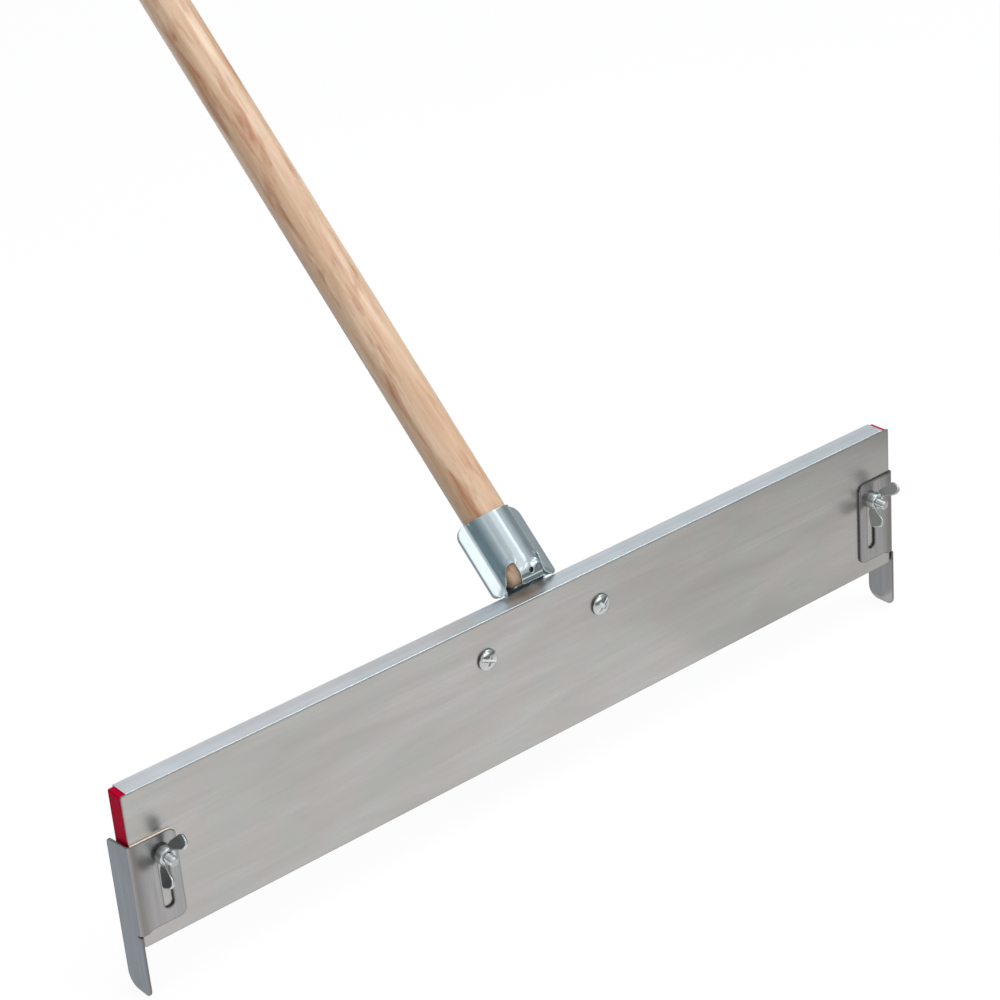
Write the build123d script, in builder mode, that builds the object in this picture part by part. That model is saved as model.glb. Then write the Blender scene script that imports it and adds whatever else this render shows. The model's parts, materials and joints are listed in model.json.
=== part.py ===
from build123d import *
import math
import os

# Leveling compound spreader: a hollow blade with a wear plate, two sliding skids and a socketed handle.
# Sizes are in millimetres. X runs along the blade, Y from its front to its back, Z up.
# The origin is the middle of the blade's working edge.

# Blade
BLADE_LENGTH = 600.0
BLADE_HEIGHT = 100.0
BLADE_DEPTH = 15.0
WEAR_PLATE = 1.0
BEAM_WALL = 1.5
WEB = 1.2
WEB_HEIGHTS = (33.0, 65.0)
CORNER = 0.6

# End plugs
PLUG_RIM = 4.0
PLUG_REACH = 10.0
PLUG_WALL = 1.6
PLUG_EASE = 0.1
PLUG_EDGE = 1.2
PLUG_STEP = 0.8

# Skids: bent angles whose front plate is slotted and whose side plate ends in a leg
SKID_SHEET = 1.5
SKID_BEND = 2.5
SKID_BEND_LAP = 1.0
SKID_FRONT_GAP = 0.05
SKID_SIDE_GAP = 0.75
SKID_TOP = 68.5
SKID_BACK_TOP = 65.7
SKID_BEND_LOW = 8.3
SKID_FRONT_LOW = 9.8
SKID_LEG_NECK = 6.5
SKID_FOOT = -33.5
SKID_INNER_X = 270.7
SKID_STEP_X = 295.5
SKID_BACK_Y = 13.0
SKID_CORNER = 5.0
FOOT_FRONT_CORNER = 5.0
FOOT_BACK_CORNER = 8.5
BACK_TOP_CORNER = 4.0
SLOT_WIDTH = 6.5
SLOT_LOW = 19.0
SLOT_HIGH = 59.4

# Six millimetre fasteners
SHANK_R = 3.0
CLEAR_R = 3.2
NUT_BORE_R = 3.05
THREAD_TIP = 0.7

# Skid bolts, their washers and wing nuts
BOLT_X = 281.2
BOLT_Z = 55.5
BOLT_LENGTH = 30.0
BOLT_HEAD_R = 8.25
BOLT_HEAD_RIM = 0.8
BOLT_HEAD_HEIGHT = 3.8
NECK_WIDTH = 6.5
NECK_DEPTH = 3.5
NECK_HOLE = 6.8
WASHER_R = 5.5
WASHER = 1.6
SEAT_GAP = 0.05
BOSS_BASE_R = 6.0
BOSS_TOP_R = 5.0
BOSS_HEIGHT = 5.0
WING_THICKNESS = 2.2
WING_TURN = {"left": 60.0, "right": 50.0}
# One wing in its own plane: distance from the bolt's axis, height over the nut's base, corner radius
WING_OUTLINE = (
    (3.6, 1.2, 0.0),
    (8.6, 1.9, 5.0),
    (16.9, 9.2, 3.2),
    (13.6, 16.9, 2.8),
    (9.2, 15.4, 3.4),
    (5.2, 6.9, 5.0),
    (3.6, 5.0, 0.0),
)

# Handle and its socket: the socket's axis leans back from the top of the blade
HANDLE_ANGLE = 43.0
HANDLE_AXIS_Y = 3.2
HANDLE_R = 14.0
SPIGOT_R = 13.8
SPIGOT_END = 53.0
SHOULDER = 1.0
HANDLE_START = 6.4
HANDLE_LENGTH = 1400.0
HANDLE_DOME = 10.0
HANDLE_EASE = 2.0
SOCKET_R_IN = 14.2
SOCKET_SHEET = 1.2
SOCKET_TOP = 53.0
SOCKET_LOW = 4.0
TROUGH_REACH = 20.0
FLANGE_HALF = 24.0
FLANGE_TOP_CORNER = 8.0
FLANGE_LOW_CORNER = 3.0
FLANGE_BEND = 2.5
SHELL_LOW = 3.0
SHELL_PULL_IN = 2.4
TONGUE_HALF = 8.0
NOTCH_TOP = 16.8
NOTCH_TOP_X = 12.4
NOTCH_ROUND = 2.1
NOTCH_FOLD = (15.2, 8.5)
NOTCH_FLANGE = (18.7, 2.9)
# The lip's outer face, as heights up the handle and out from its axis: at the bend and at its end
LIP_BEND = (6.3, 15.4)
LIP_END = (3.0, 8.8)
NAIL_HOLE_R = 1.3
NAIL_HOLE_S = 8.0
TAB_HALF = 8.0
TAB_LOW = 4.9
TAB_REACH = 14.0
TAB_CORNER = 3.0

# Bracket plate on the blade's back and its fasteners
BRACKET_SHEET = 2.0
BRACKET_WIDTH = 120.0
BRACKET_HEIGHT = 32.0
BRACKET_CORNER = 12.0
BRACKET_NECK_WIDTH = 46.0
BRACKET_NECK_TOP = 97.0
BRACKET_NECK_CORNER = 2.8
SCREW_X = 45.0
SCREW_Z = 75.0
SCREW_LENGTH = 25.0
SCREW_HEAD_R = 7.0
SCREW_HEAD_RIM = 0.9
SCREW_HEAD_HEIGHT = 3.4
RECESS_WIDTH = 1.5
RECESS_DEPTH = 1.7
RECESS_CROSS = 6.4
SCREW_TURN = {"left": -24.0, "right": 38.0}
BACK_WASHER_R = 9.0
HEX_ACROSS_FLATS = 10.0
HEX_HEIGHT = 5.0

# Places worked out from those sizes
SIDES = {"left": -1, "right": 1}
FRONT_Y = -BLADE_DEPTH / 2
BACK_Y = BLADE_DEPTH / 2
BEAM_FRONT_Y = FRONT_Y + WEAR_PLATE
BEAM_DEPTH = BACK_Y - BEAM_FRONT_Y
BEAM_MID_Y = (BACK_Y + BEAM_FRONT_Y) / 2
BEAM_END = BLADE_LENGTH / 2 - PLUG_RIM
CELL_DEPTH = BEAM_DEPTH - 2 * BEAM_WALL
CELL_EDGES = [
    (BEAM_WALL, WEB_HEIGHTS[0] - WEB / 2),
    (WEB_HEIGHTS[0] + WEB / 2, WEB_HEIGHTS[1] - WEB / 2),
    (WEB_HEIGHTS[1] + WEB / 2, BLADE_HEIGHT - BEAM_WALL),
]
SKID_FACE_Y = FRONT_Y - SKID_FRONT_GAP - SKID_SHEET
HANDLE_END = HANDLE_START + HANDLE_LENGTH
SOCKET_R_OUT = SOCKET_R_IN + SOCKET_SHEET
ALONG = Vector(0, math.cos(math.radians(HANDLE_ANGLE)), math.sin(math.radians(HANDLE_ANGLE)))
OUTWARD = Vector(0, -math.sin(math.radians(HANDLE_ANGLE)), math.cos(math.radians(HANDLE_ANGLE)))
SOCKET_POINT = (0, HANDLE_AXIS_Y, BLADE_HEIGHT)
# Across the handle: local y points to the back of the socket
ACROSS = Plane(origin=SOCKET_POINT, x_dir=(1, 0, 0), z_dir=ALONG)
# Over the socket, seen from its front: local y runs up the handle
OVER = Plane(origin=SOCKET_POINT, x_dir=(1, 0, 0), z_dir=OUTWARD)
# Beside the socket: local x runs up the handle, local y out to the front
BESIDE = Plane(origin=SOCKET_POINT, x_dir=ALONG, z_dir=(1, 0, 0))
SCREW_PLACES = [(-SCREW_X, SCREW_Z), (SCREW_X, SCREW_Z)]
BOLT_PLACES = [(-BOLT_X, BOLT_Z), (BOLT_X, BOLT_Z)]

os.makedirs("parts", exist_ok=True)


def at_y(y):
    """A sketch plane facing the blade's front, with X across and Z up, at depth y."""
    return Plane.XZ.offset(-y)


def save(builder, name):
    builder.part.label = name
    export_step(builder.part, f"parts/{name}.step")


# Blade beam: extruded hollow section with two inner webs
with BuildPart() as blade_beam:
    with BuildSketch(Plane.YZ.offset(-BEAM_END)):
        with Locations((BEAM_MID_Y, BLADE_HEIGHT / 2)):
            RectangleRounded(BEAM_DEPTH, BLADE_HEIGHT, CORNER)
        for low, high in CELL_EDGES:
            with Locations((BEAM_MID_Y, (low + high) / 2)):
                RectangleRounded(CELL_DEPTH, high - low, CORNER, mode=Mode.SUBTRACT)
    extrude(amount=2 * BEAM_END)
    with BuildSketch(at_y(0)):
        with Locations(*SCREW_PLACES):
            Circle(CLEAR_R)
    extrude(amount=BLADE_DEPTH, both=True, mode=Mode.SUBTRACT)
    with BuildSketch(at_y(0)):
        with Locations(*BOLT_PLACES):
            Circle(CLEAR_R)
    extrude(amount=BLADE_DEPTH, mode=Mode.SUBTRACT)
    with BuildSketch(at_y(0)):
        with Locations(*BOLT_PLACES):
            Rectangle(NECK_HOLE, NECK_HOLE)
    extrude(amount=-BLADE_DEPTH, mode=Mode.SUBTRACT)
save(blade_beam, "blade_beam")

# Wear plate: thin sheet over the beam's front and the plugs' rims
with BuildPart() as front_wear_plate:
    with BuildSketch(at_y(BEAM_FRONT_Y)):
        with Locations((0, BLADE_HEIGHT / 2)):
            RectangleRounded(BLADE_LENGTH, BLADE_HEIGHT, CORNER * 2)
        with Locations(*SCREW_PLACES, *BOLT_PLACES):
            Circle(CLEAR_R, mode=Mode.SUBTRACT)
    extrude(amount=WEAR_PLATE)
save(front_wear_plate, "front_wear_plate")

# End plugs: a rim set a little inside the beam's outline and a hollow tongue in each of its cells
for side_name, side in SIDES.items():
    with BuildPart() as end_plug:
        with BuildSketch(Plane.YZ.offset(side * BEAM_END)):
            with Locations((BEAM_MID_Y - PLUG_STEP / 2, BLADE_HEIGHT / 2)):
                RectangleRounded(BEAM_DEPTH - PLUG_STEP, BLADE_HEIGHT - 2 * PLUG_STEP, CORNER)
        extrude(amount=side * PLUG_RIM)
        outer_face = end_plug.faces().sort_by(Axis.X)[-1 if side > 0 else 0]
        fillet(outer_face.edges(), PLUG_EDGE)
        with BuildSketch(Plane.YZ.offset(side * BEAM_END)):
            for low, high in CELL_EDGES:
                width = CELL_DEPTH - 2 * PLUG_EASE
                height = high - low - 2 * PLUG_EASE
                with Locations((BEAM_MID_Y, (low + high) / 2)):
                    RectangleRounded(width, height, CORNER)
                    hollow = (width - 2 * PLUG_WALL, height - 2 * PLUG_WALL)
                    Rectangle(*hollow, mode=Mode.SUBTRACT)
        extrude(amount=-side * PLUG_REACH)
    save(end_plug, f"end_plug_{side_name}")

# Skids: slotted front plate, rounded bend, and a side plate that reaches down as a leg
for side_name, side in SIDES.items():
    inside_x = side * (BLADE_LENGTH / 2 + SKID_SIDE_GAP)
    outside_x = inside_x + side * SKID_SHEET
    lap_y = SKID_FACE_Y + SKID_BEND + SKID_BEND_LAP
    bend_line = [(side * SKID_INNER_X, SKID_FACE_Y), (outside_x, SKID_FACE_Y), (outside_x, lap_y)]
    with BuildPart() as skid:
        with BuildLine(Plane.XY.offset(SKID_BEND_LOW)):
            FilletPolyline(*bend_line[::side], radius=SKID_BEND)
        make_brake_formed(SKID_SHEET, SKID_TOP - SKID_BEND_LOW)
        with BuildSketch(at_y(SKID_FACE_Y + SKID_SHEET)):
            with BuildLine():
                Polyline(
                    (side * (SKID_INNER_X - 1), SKID_BEND_LOW - 1),
                    (side * SKID_STEP_X, SKID_BEND_LOW - 1),
                    (side * SKID_STEP_X, SKID_FRONT_LOW),
                    (side * (SKID_INNER_X - 1), SKID_FRONT_LOW),
                    close=True,
                )
            make_face()
        extrude(amount=SKID_SHEET, mode=Mode.SUBTRACT)
        inner_edges = skid.edges().filter_by(Axis.Y).group_by(Axis.X)[0 if side > 0 else -1]
        fillet(inner_edges, SKID_CORNER)
        with BuildSketch(at_y(SKID_FACE_Y + SKID_SHEET)):
            with Locations((side * BOLT_X, (SLOT_LOW + SLOT_HIGH) / 2)):
                SlotOverall(SLOT_HIGH - SLOT_LOW, SLOT_WIDTH, rotation=90)
        extrude(amount=SKID_SHEET, mode=Mode.SUBTRACT)
        with BuildSketch(Plane.YZ.offset(inside_x)) as leg:
            with BuildLine():
                Polyline(
                    (SKID_FACE_Y, SKID_FOOT),
                    (SKID_BACK_Y, SKID_FOOT),
                    (SKID_BACK_Y, SKID_BACK_TOP),
                    (lap_y, SKID_TOP),
                    (lap_y, SKID_LEG_NECK),
                    (SKID_FACE_Y, SKID_LEG_NECK),
                    close=True,
                )
            make_face()
            for y, z, radius in (
                (SKID_FACE_Y, SKID_FOOT, FOOT_FRONT_CORNER),
                (SKID_BACK_Y, SKID_FOOT, FOOT_BACK_CORNER),
                (SKID_BACK_Y, SKID_BACK_TOP, BACK_TOP_CORNER),
            ):
                fillet(leg.vertices().sort_by_distance((y, z))[0], radius)
        extrude(amount=side * SKID_SHEET)
    save(skid, f"skid_{side_name}")

# Skid bolts: cup head and square neck at the back, threaded end standing out of the front
for side_name, side in SIDES.items():
    with BuildPart() as skid_bolt:
        with BuildSketch(Plane.YZ.offset(side * BOLT_X)):
            rim_y = BACK_Y + BOLT_HEAD_RIM
            top_y = BACK_Y + BOLT_HEAD_HEIGHT
            tip_y = BACK_Y - BOLT_LENGTH
            with BuildLine():
                dome = TangentArc((top_y, BOLT_Z), (rim_y, BOLT_Z + BOLT_HEAD_R), tangent=(0, 1))
                Polyline(
                    dome @ 1,
                    (BACK_Y, BOLT_Z + BOLT_HEAD_R),
                    (BACK_Y, BOLT_Z + SHANK_R),
                    (tip_y + THREAD_TIP, BOLT_Z + SHANK_R),
                    (tip_y, BOLT_Z + SHANK_R - THREAD_TIP),
                    (tip_y, BOLT_Z),
                    (top_y, BOLT_Z),
                )
            make_face()
        revolve(axis=Axis((side * BOLT_X, 0, BOLT_Z), (0, 1, 0)))
        with BuildSketch(at_y(BACK_Y + BOLT_HEAD_RIM / 2)):
            with Locations((side * BOLT_X, BOLT_Z)):
                Rectangle(NECK_WIDTH, NECK_WIDTH)
        extrude(amount=NECK_DEPTH + BOLT_HEAD_RIM / 2)
    save(skid_bolt, f"skid_bolt_{side_name}")

# Washers under the wing nuts
washer_back_y = SKID_FACE_Y - SEAT_GAP
for side_name, side in SIDES.items():
    with BuildPart() as skid_washer:
        with BuildSketch(at_y(washer_back_y)):
            with Locations((side * BOLT_X, BOLT_Z)):
                Circle(WASHER_R)
                Circle(CLEAR_R, mode=Mode.SUBTRACT)
        extrude(amount=WASHER)
    save(skid_washer, f"skid_washer_{side_name}")

# Wing nuts: tapered boss and two rounded wings
nut_base_y = washer_back_y - WASHER - SEAT_GAP
for side_name, side in SIDES.items():
    turn = math.radians(WING_TURN[side_name])
    across = Vector(math.cos(turn), 0, math.sin(turn))
    through = Vector(math.sin(turn), 0, -math.cos(turn))
    nut_base = (side * BOLT_X, nut_base_y, BOLT_Z)
    with BuildPart() as wing_nut:
        with BuildSketch(at_y(nut_base_y)):
            with Locations((side * BOLT_X, BOLT_Z)):
                Circle(BOSS_BASE_R)
        with BuildSketch(at_y(nut_base_y - BOSS_HEIGHT)):
            with Locations((side * BOLT_X, BOLT_Z)):
                Circle(BOSS_TOP_R)
        loft()
        for direction in (1, -1):
            wing_plane = Plane(origin=nut_base, x_dir=across * direction, z_dir=through * direction)
            with BuildSketch(wing_plane) as wing:
                with BuildLine():
                    Polyline(*[(x, y) for x, y, radius in WING_OUTLINE], close=True)
                make_face()
                for x, y, radius in WING_OUTLINE:
                    if radius > 0:
                        fillet(wing.vertices().sort_by_distance((x, y))[0], radius)
            extrude(amount=WING_THICKNESS / 2, both=True)
        with BuildSketch(at_y(nut_base_y)):
            with Locations((side * BOLT_X, BOLT_Z)):
                Circle(NUT_BORE_R)
        extrude(amount=BOSS_HEIGHT * 3, mode=Mode.SUBTRACT)
    save(wing_nut, f"wing_nut_{side_name}")

# Bracket base: plate on the blade's back, pressed out into the back half of the socket
with BuildPart() as bracket_base:
    with BuildSketch(ACROSS.offset(-TROUGH_REACH)):
        Circle(SOCKET_R_OUT)
        with Locations((0, -SOCKET_R_OUT)):
            Rectangle(3 * SOCKET_R_OUT, 2 * SOCKET_R_OUT, mode=Mode.SUBTRACT)
    extrude(amount=TROUGH_REACH + SOCKET_LOW)
    with BuildSketch(at_y(BACK_Y)):
        with Locations((0, BLADE_HEIGHT)):
            Rectangle(4 * SOCKET_R_OUT, 8 * SOCKET_R_OUT)
    extrude(amount=8 * SOCKET_R_OUT, mode=Mode.SUBTRACT)
    with BuildSketch(at_y(BACK_Y)) as bracket_outline:
        with Locations((0, SCREW_Z)):
            RectangleRounded(BRACKET_WIDTH, BRACKET_HEIGHT, BRACKET_CORNER)
        neck_height = BRACKET_NECK_TOP - SCREW_Z
        with Locations((0, SCREW_Z + neck_height / 2)):
            Rectangle(BRACKET_NECK_WIDTH, neck_height)
        foot_corners = bracket_outline.vertices().filter_by_position(
            Axis.Y, SCREW_Z + BRACKET_HEIGHT / 2 - 0.1, BRACKET_NECK_TOP + 0.1
        )
        fillet(foot_corners.filter_by_position(Axis.X, -BRACKET_NECK_WIDTH, BRACKET_NECK_WIDTH),
               BRACKET_NECK_CORNER)
        with Locations(*SCREW_PLACES):
            Circle(CLEAR_R, mode=Mode.SUBTRACT)
    extrude(amount=-BRACKET_SHEET)
    with BuildSketch(ACROSS):
        Circle(SOCKET_R_IN)
    extrude(amount=2 * TROUGH_REACH, both=True, mode=Mode.SUBTRACT)
    with BuildSketch(ACROSS.offset(SOCKET_LOW)) as trough:
        Circle(SOCKET_R_OUT)
        with Locations((0, -SOCKET_R_OUT + SOCKET_SHEET)):
            Rectangle(3 * SOCKET_R_OUT, 2 * SOCKET_R_OUT, mode=Mode.SUBTRACT)
        with Locations((0, 1.5 * SOCKET_SHEET)):
            Rectangle(2 * FLANGE_HALF, SOCKET_SHEET)
        Circle(SOCKET_R_IN, mode=Mode.SUBTRACT)
        fold = [v for v in trough.vertices() if SOCKET_R_IN < abs(v.X) < FLANGE_HALF - 1]
        low_fold = [v for v in fold if v.Y > 1.5 * SOCKET_SHEET]
        fillet(low_fold, FLANGE_BEND)
    extrude(amount=SOCKET_TOP - SOCKET_LOW)
    flange_edges = bracket_base.edges().filter_by(Axis((0, 0, 0), OUTWARD))
    outer_edges = [e for e in flange_edges if abs(abs(e.center().X) - FLANGE_HALF) < 0.01]
    top_edges = [e for e in outer_edges if OVER.to_local_coords(e.center()).Y > SOCKET_TOP / 2]
    low_edges = [e for e in outer_edges if OVER.to_local_coords(e.center()).Y < SOCKET_TOP / 2]
    fillet(top_edges, FLANGE_TOP_CORNER)
    fillet(low_edges, FLANGE_LOW_CORNER)
    # Stop tab under the handle's end, rooted in the wall behind it
    with BuildSketch(ACROSS.offset(TAB_LOW)) as tab:
        with Locations((0, SOCKET_R_OUT - TAB_REACH / 2)):
            Rectangle(2 * TAB_HALF, TAB_REACH)
        fillet(tab.vertices().group_by(Axis.Y)[0], TAB_CORNER)
        Circle(SOCKET_R_IN + SOCKET_SHEET / 2, mode=Mode.INTERSECT)
    extrude(amount=SOCKET_SHEET)
save(bracket_base, "bracket_base")

# Lip of the front shell: the end of its tongue, bent in under the handle's end
lip_slope = Vector(*LIP_BEND) - Vector(*LIP_END)
lip_inward = lip_slope.normalized().rotate(Axis.Z, -90) * SOCKET_SHEET
with BuildPart() as lip:
    with BuildSketch(BESIDE):
        with BuildLine():
            Polyline(
                LIP_END,
                LIP_BEND,
                Vector(*LIP_BEND) + lip_inward,
                Vector(*LIP_END) + lip_inward,
                close=True,
            )
        make_face()
    extrude(amount=TONGUE_HALF, both=True)
    with BuildSketch(ACROSS):
        Circle(SOCKET_R_OUT)
    extrude(amount=SOCKET_TOP, both=True, mode=Mode.INTERSECT)

# Bracket front shell: half-round with flanges, two arch notches, a nail hole and the lip
with BuildPart() as bracket_front_shell:
    with BuildSketch(ACROSS.offset(SHELL_LOW)) as shell_section:
        Circle(SOCKET_R_OUT)
        with Locations((0, SOCKET_R_OUT)):
            Rectangle(3 * SOCKET_R_OUT, 2 * SOCKET_R_OUT, mode=Mode.SUBTRACT)
        with Locations((0, SOCKET_SHEET / 2)):
            Rectangle(2 * FLANGE_HALF, SOCKET_SHEET)
        Circle(SOCKET_R_IN, mode=Mode.SUBTRACT)
        with Locations((0, SOCKET_SHEET / 2)):
            Rectangle(2 * SOCKET_R_IN, SOCKET_SHEET, mode=Mode.SUBTRACT)
        fold = [v for v in shell_section.vertices() if SOCKET_R_IN + 0.1 < abs(v.X) < FLANGE_HALF - 1]
        fillet(fold, FLANGE_BEND)
    extrude(amount=SOCKET_TOP - SHELL_LOW)
    # The forming pulls the top edge in over the crown
    lean = SHELL_PULL_IN / SOCKET_R_OUT
    cut_point = Vector(SOCKET_POINT) + ALONG * SOCKET_TOP
    split(bisect_by=Plane(origin=cut_point, z_dir=ALONG + OUTWARD * lean), keep=Keep.BOTTOM)
    with BuildSketch(OVER.offset(-5)) as shell_outline:
        with Locations((0, (SOCKET_TOP + SHELL_LOW) / 2)):
            Rectangle(2 * FLANGE_HALF, SOCKET_TOP - SHELL_LOW)
        fillet(shell_outline.vertices().group_by(Axis.Y)[-1], FLANGE_TOP_CORNER)
        fillet(shell_outline.vertices().group_by(Axis.Y)[0], FLANGE_LOW_CORNER)
    extrude(amount=5 + 2 * SOCKET_R_OUT, mode=Mode.INTERSECT)
    for side in SIDES.values():
        with BuildSketch(OVER.offset(-2 * SOCKET_SHEET)) as notch:
            with BuildLine():
                Polyline(
                    (side * TONGUE_HALF, 0),
                    (side * TONGUE_HALF, NOTCH_TOP),
                    (side * NOTCH_TOP_X, NOTCH_TOP),
                    (side * NOTCH_FOLD[0], NOTCH_FOLD[1]),
                    (side * NOTCH_FLANGE[0], NOTCH_FLANGE[1]),
                    (side * NOTCH_FLANGE[0], 0),
                    close=True,
                )
            make_face()
            fillet(notch.vertices().group_by(Axis.Y)[-1], NOTCH_ROUND)
        extrude(amount=2 * SOCKET_R_OUT, mode=Mode.SUBTRACT)
    with BuildSketch(BESIDE):
        with BuildLine():
            Polyline(LIP_END, LIP_BEND, (0, LIP_BEND[1]), (0, LIP_END[1]), close=True)
        make_face()
    extrude(amount=TONGUE_HALF, both=True, mode=Mode.SUBTRACT)
    add(lip.part)
    with BuildSketch(OVER):
        with Locations((0, NAIL_HOLE_S)):
            Circle(NAIL_HOLE_R)
    extrude(amount=2 * SOCKET_R_OUT, mode=Mode.SUBTRACT)
save(bracket_front_shell, "bracket_front_shell")

# Bracket screws: low round heads with a slot and a cross, through the blade and the bracket plate
for side_name, side in SIDES.items():
    place = (side * SCREW_X, SCREW_Z)
    with BuildPart() as bracket_screw:
        with BuildSketch(Plane.YZ.offset(side * SCREW_X)):
            rim_y = FRONT_Y - SCREW_HEAD_RIM
            top_y = FRONT_Y - SCREW_HEAD_HEIGHT
            tip_y = FRONT_Y + SCREW_LENGTH
            with BuildLine():
                dome = TangentArc((top_y, SCREW_Z), (rim_y, SCREW_Z + SCREW_HEAD_R), tangent=(0, 1))
                Polyline(
                    dome @ 1,
                    (FRONT_Y, SCREW_Z + SCREW_HEAD_R),
                    (FRONT_Y, SCREW_Z + SHANK_R),
                    (tip_y - THREAD_TIP, SCREW_Z + SHANK_R),
                    (tip_y, SCREW_Z + SHANK_R - THREAD_TIP),
                    (tip_y, SCREW_Z),
                    (top_y, SCREW_Z),
                )
            make_face()
        revolve(axis=Axis((side * SCREW_X, 0, SCREW_Z), (0, 1, 0)))
        with BuildSketch(at_y(FRONT_Y - SCREW_HEAD_HEIGHT + RECESS_DEPTH)):
            with Locations(place):
                turn = SCREW_TURN[side_name]
                Rectangle(3 * SCREW_HEAD_R, RECESS_WIDTH, rotation=turn)
                Rectangle(RECESS_WIDTH, RECESS_CROSS, rotation=turn)
        extrude(amount=SCREW_HEAD_HEIGHT, mode=Mode.SUBTRACT)
    save(bracket_screw, f"bracket_screw_{side_name}")

# Washers and hexagon nuts on the bracket screws, at the back
back_washer_y = BACK_Y + BRACKET_SHEET
hex_y = back_washer_y + WASHER
for side_name, side in SIDES.items():
    place = (side * SCREW_X, SCREW_Z)
    with BuildPart() as bracket_washer:
        with BuildSketch(at_y(back_washer_y)):
            with Locations(place):
                Circle(BACK_WASHER_R)
                Circle(CLEAR_R, mode=Mode.SUBTRACT)
        extrude(amount=-WASHER)
    save(bracket_washer, f"bracket_washer_{side_name}")
    with BuildPart() as bracket_nut:
        with BuildSketch(at_y(hex_y)):
            with Locations(place):
                RegularPolygon(HEX_ACROSS_FLATS / 2, 6, major_radius=False, rotation=30)
                Circle(NUT_BORE_R, mode=Mode.SUBTRACT)
        extrude(amount=-HEX_HEIGHT)
    save(bracket_nut, f"bracket_nut_{side_name}")

# Handle: round wooden bar, turned down where the socket takes it, with a domed free end
with BuildPart() as handle:
    with BuildSketch(BESIDE):
        with BuildLine():
            Polyline(
                (HANDLE_END - HANDLE_DOME, HANDLE_R),
                (SPIGOT_END + SHOULDER, HANDLE_R),
                (SPIGOT_END, SPIGOT_R),
                (HANDLE_START + HANDLE_EASE, SPIGOT_R),
                (HANDLE_START, SPIGOT_R - HANDLE_EASE),
                (HANDLE_START, 0),
                (HANDLE_END, 0),
                (HANDLE_END, HANDLE_R - HANDLE_DOME),
            )
            TangentArc(
                (HANDLE_END, HANDLE_R - HANDLE_DOME),
                (HANDLE_END - HANDLE_DOME, HANDLE_R),
                tangent=(0, 1),
            )
        make_face()
    revolve(axis=Axis(SOCKET_POINT, ALONG))
save(handle, "handle")
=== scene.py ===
"""Leveling compound spreader: the finished look of each piece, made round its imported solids."""

import json
import math
from functools import partial

import bmesh
import bpy
from mathutils import Matrix, Vector
from mathutils.geometry import delaunay_2d_cdt


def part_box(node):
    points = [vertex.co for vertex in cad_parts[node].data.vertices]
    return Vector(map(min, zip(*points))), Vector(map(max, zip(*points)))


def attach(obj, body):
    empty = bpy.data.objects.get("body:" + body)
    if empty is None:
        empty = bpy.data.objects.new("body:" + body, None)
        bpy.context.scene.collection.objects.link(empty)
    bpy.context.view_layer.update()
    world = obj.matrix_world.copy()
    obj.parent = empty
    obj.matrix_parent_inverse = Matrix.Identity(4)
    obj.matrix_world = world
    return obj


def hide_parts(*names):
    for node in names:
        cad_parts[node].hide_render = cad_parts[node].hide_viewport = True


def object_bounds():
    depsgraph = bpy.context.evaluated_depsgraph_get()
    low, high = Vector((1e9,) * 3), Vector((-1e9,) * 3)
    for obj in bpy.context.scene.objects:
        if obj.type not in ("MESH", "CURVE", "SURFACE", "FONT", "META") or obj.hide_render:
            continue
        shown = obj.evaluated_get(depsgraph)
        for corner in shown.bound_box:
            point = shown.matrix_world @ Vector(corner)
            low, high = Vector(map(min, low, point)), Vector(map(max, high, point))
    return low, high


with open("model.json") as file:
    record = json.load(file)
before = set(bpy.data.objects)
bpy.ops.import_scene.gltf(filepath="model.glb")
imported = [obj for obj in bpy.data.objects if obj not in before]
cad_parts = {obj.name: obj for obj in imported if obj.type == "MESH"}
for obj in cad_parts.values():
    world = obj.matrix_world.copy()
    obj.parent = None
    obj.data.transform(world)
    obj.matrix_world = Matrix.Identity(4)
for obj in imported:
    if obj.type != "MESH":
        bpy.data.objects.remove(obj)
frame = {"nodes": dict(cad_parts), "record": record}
CAD_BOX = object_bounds()

bl_info = {
    "name": "Leveling Compound Spreader",
    "version": (1, 0, 0),
    "blender": (4, 5, 0),
    "location": "3D View > Sidebar > Spreader",
    "description": "Makes the blade, skids, fasteners, handle socket and handle of a leveling compound spreader",
    "category": "Object",
}

MM = 0.001
SIDES = ((-1, "left"), (1, "right"))

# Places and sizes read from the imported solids, in metres, so that each piece sits where its solid does.
PLATE_LOW, PLATE_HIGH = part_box("front_wear_plate")
SKID_LOW, SKID_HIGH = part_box("skid_right")
BOLT_LOW, BOLT_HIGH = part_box("skid_bolt_right")
SCREW_LOW, SCREW_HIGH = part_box("bracket_screw_right")
NUT_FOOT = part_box("wing_nut_right")[1][1]
GRIP = next(m for m in frame["record"]["mounts"] if m["name"] == "handle_grip")
ALONG = Vector(GRIP["axis"]).normalized()
OUTWARD = Vector((0.0, -ALONG.z, ALONG.y))

# Where the handle's axis meets the level of the blade's top, in metres.
SOCKET_POINT = Vector((0.0, 3.2 * MM, 100 * MM))

# Sizes of the solids that their boxes don't give, in millimetres.
BEAM_BACK = 7.5
SCREW_SPOT, BOLT_SPOT = (45.0, 75.0), (281.2, 55.5)
SHANK_RADIUS, HOLE_RADIUS = 3.0, 3.2

# Kinds of node that many finishes use.
NOISE, MAPPING, ATTRIBUTE = "ShaderNodeTexNoise", "ShaderNodeMapping", "ShaderNodeAttribute"
RANGE, MIX, BUMP = "ShaderNodeMapRange", "ShaderNodeMix", "ShaderNodeBump"
MATH, VECTOR_MATH = "ShaderNodeMath", "ShaderNodeVectorMath"
PRINCIPLED, OUTPUT = "ShaderNodeBsdfPrincipled", "ShaderNodeOutputMaterial"


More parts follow.
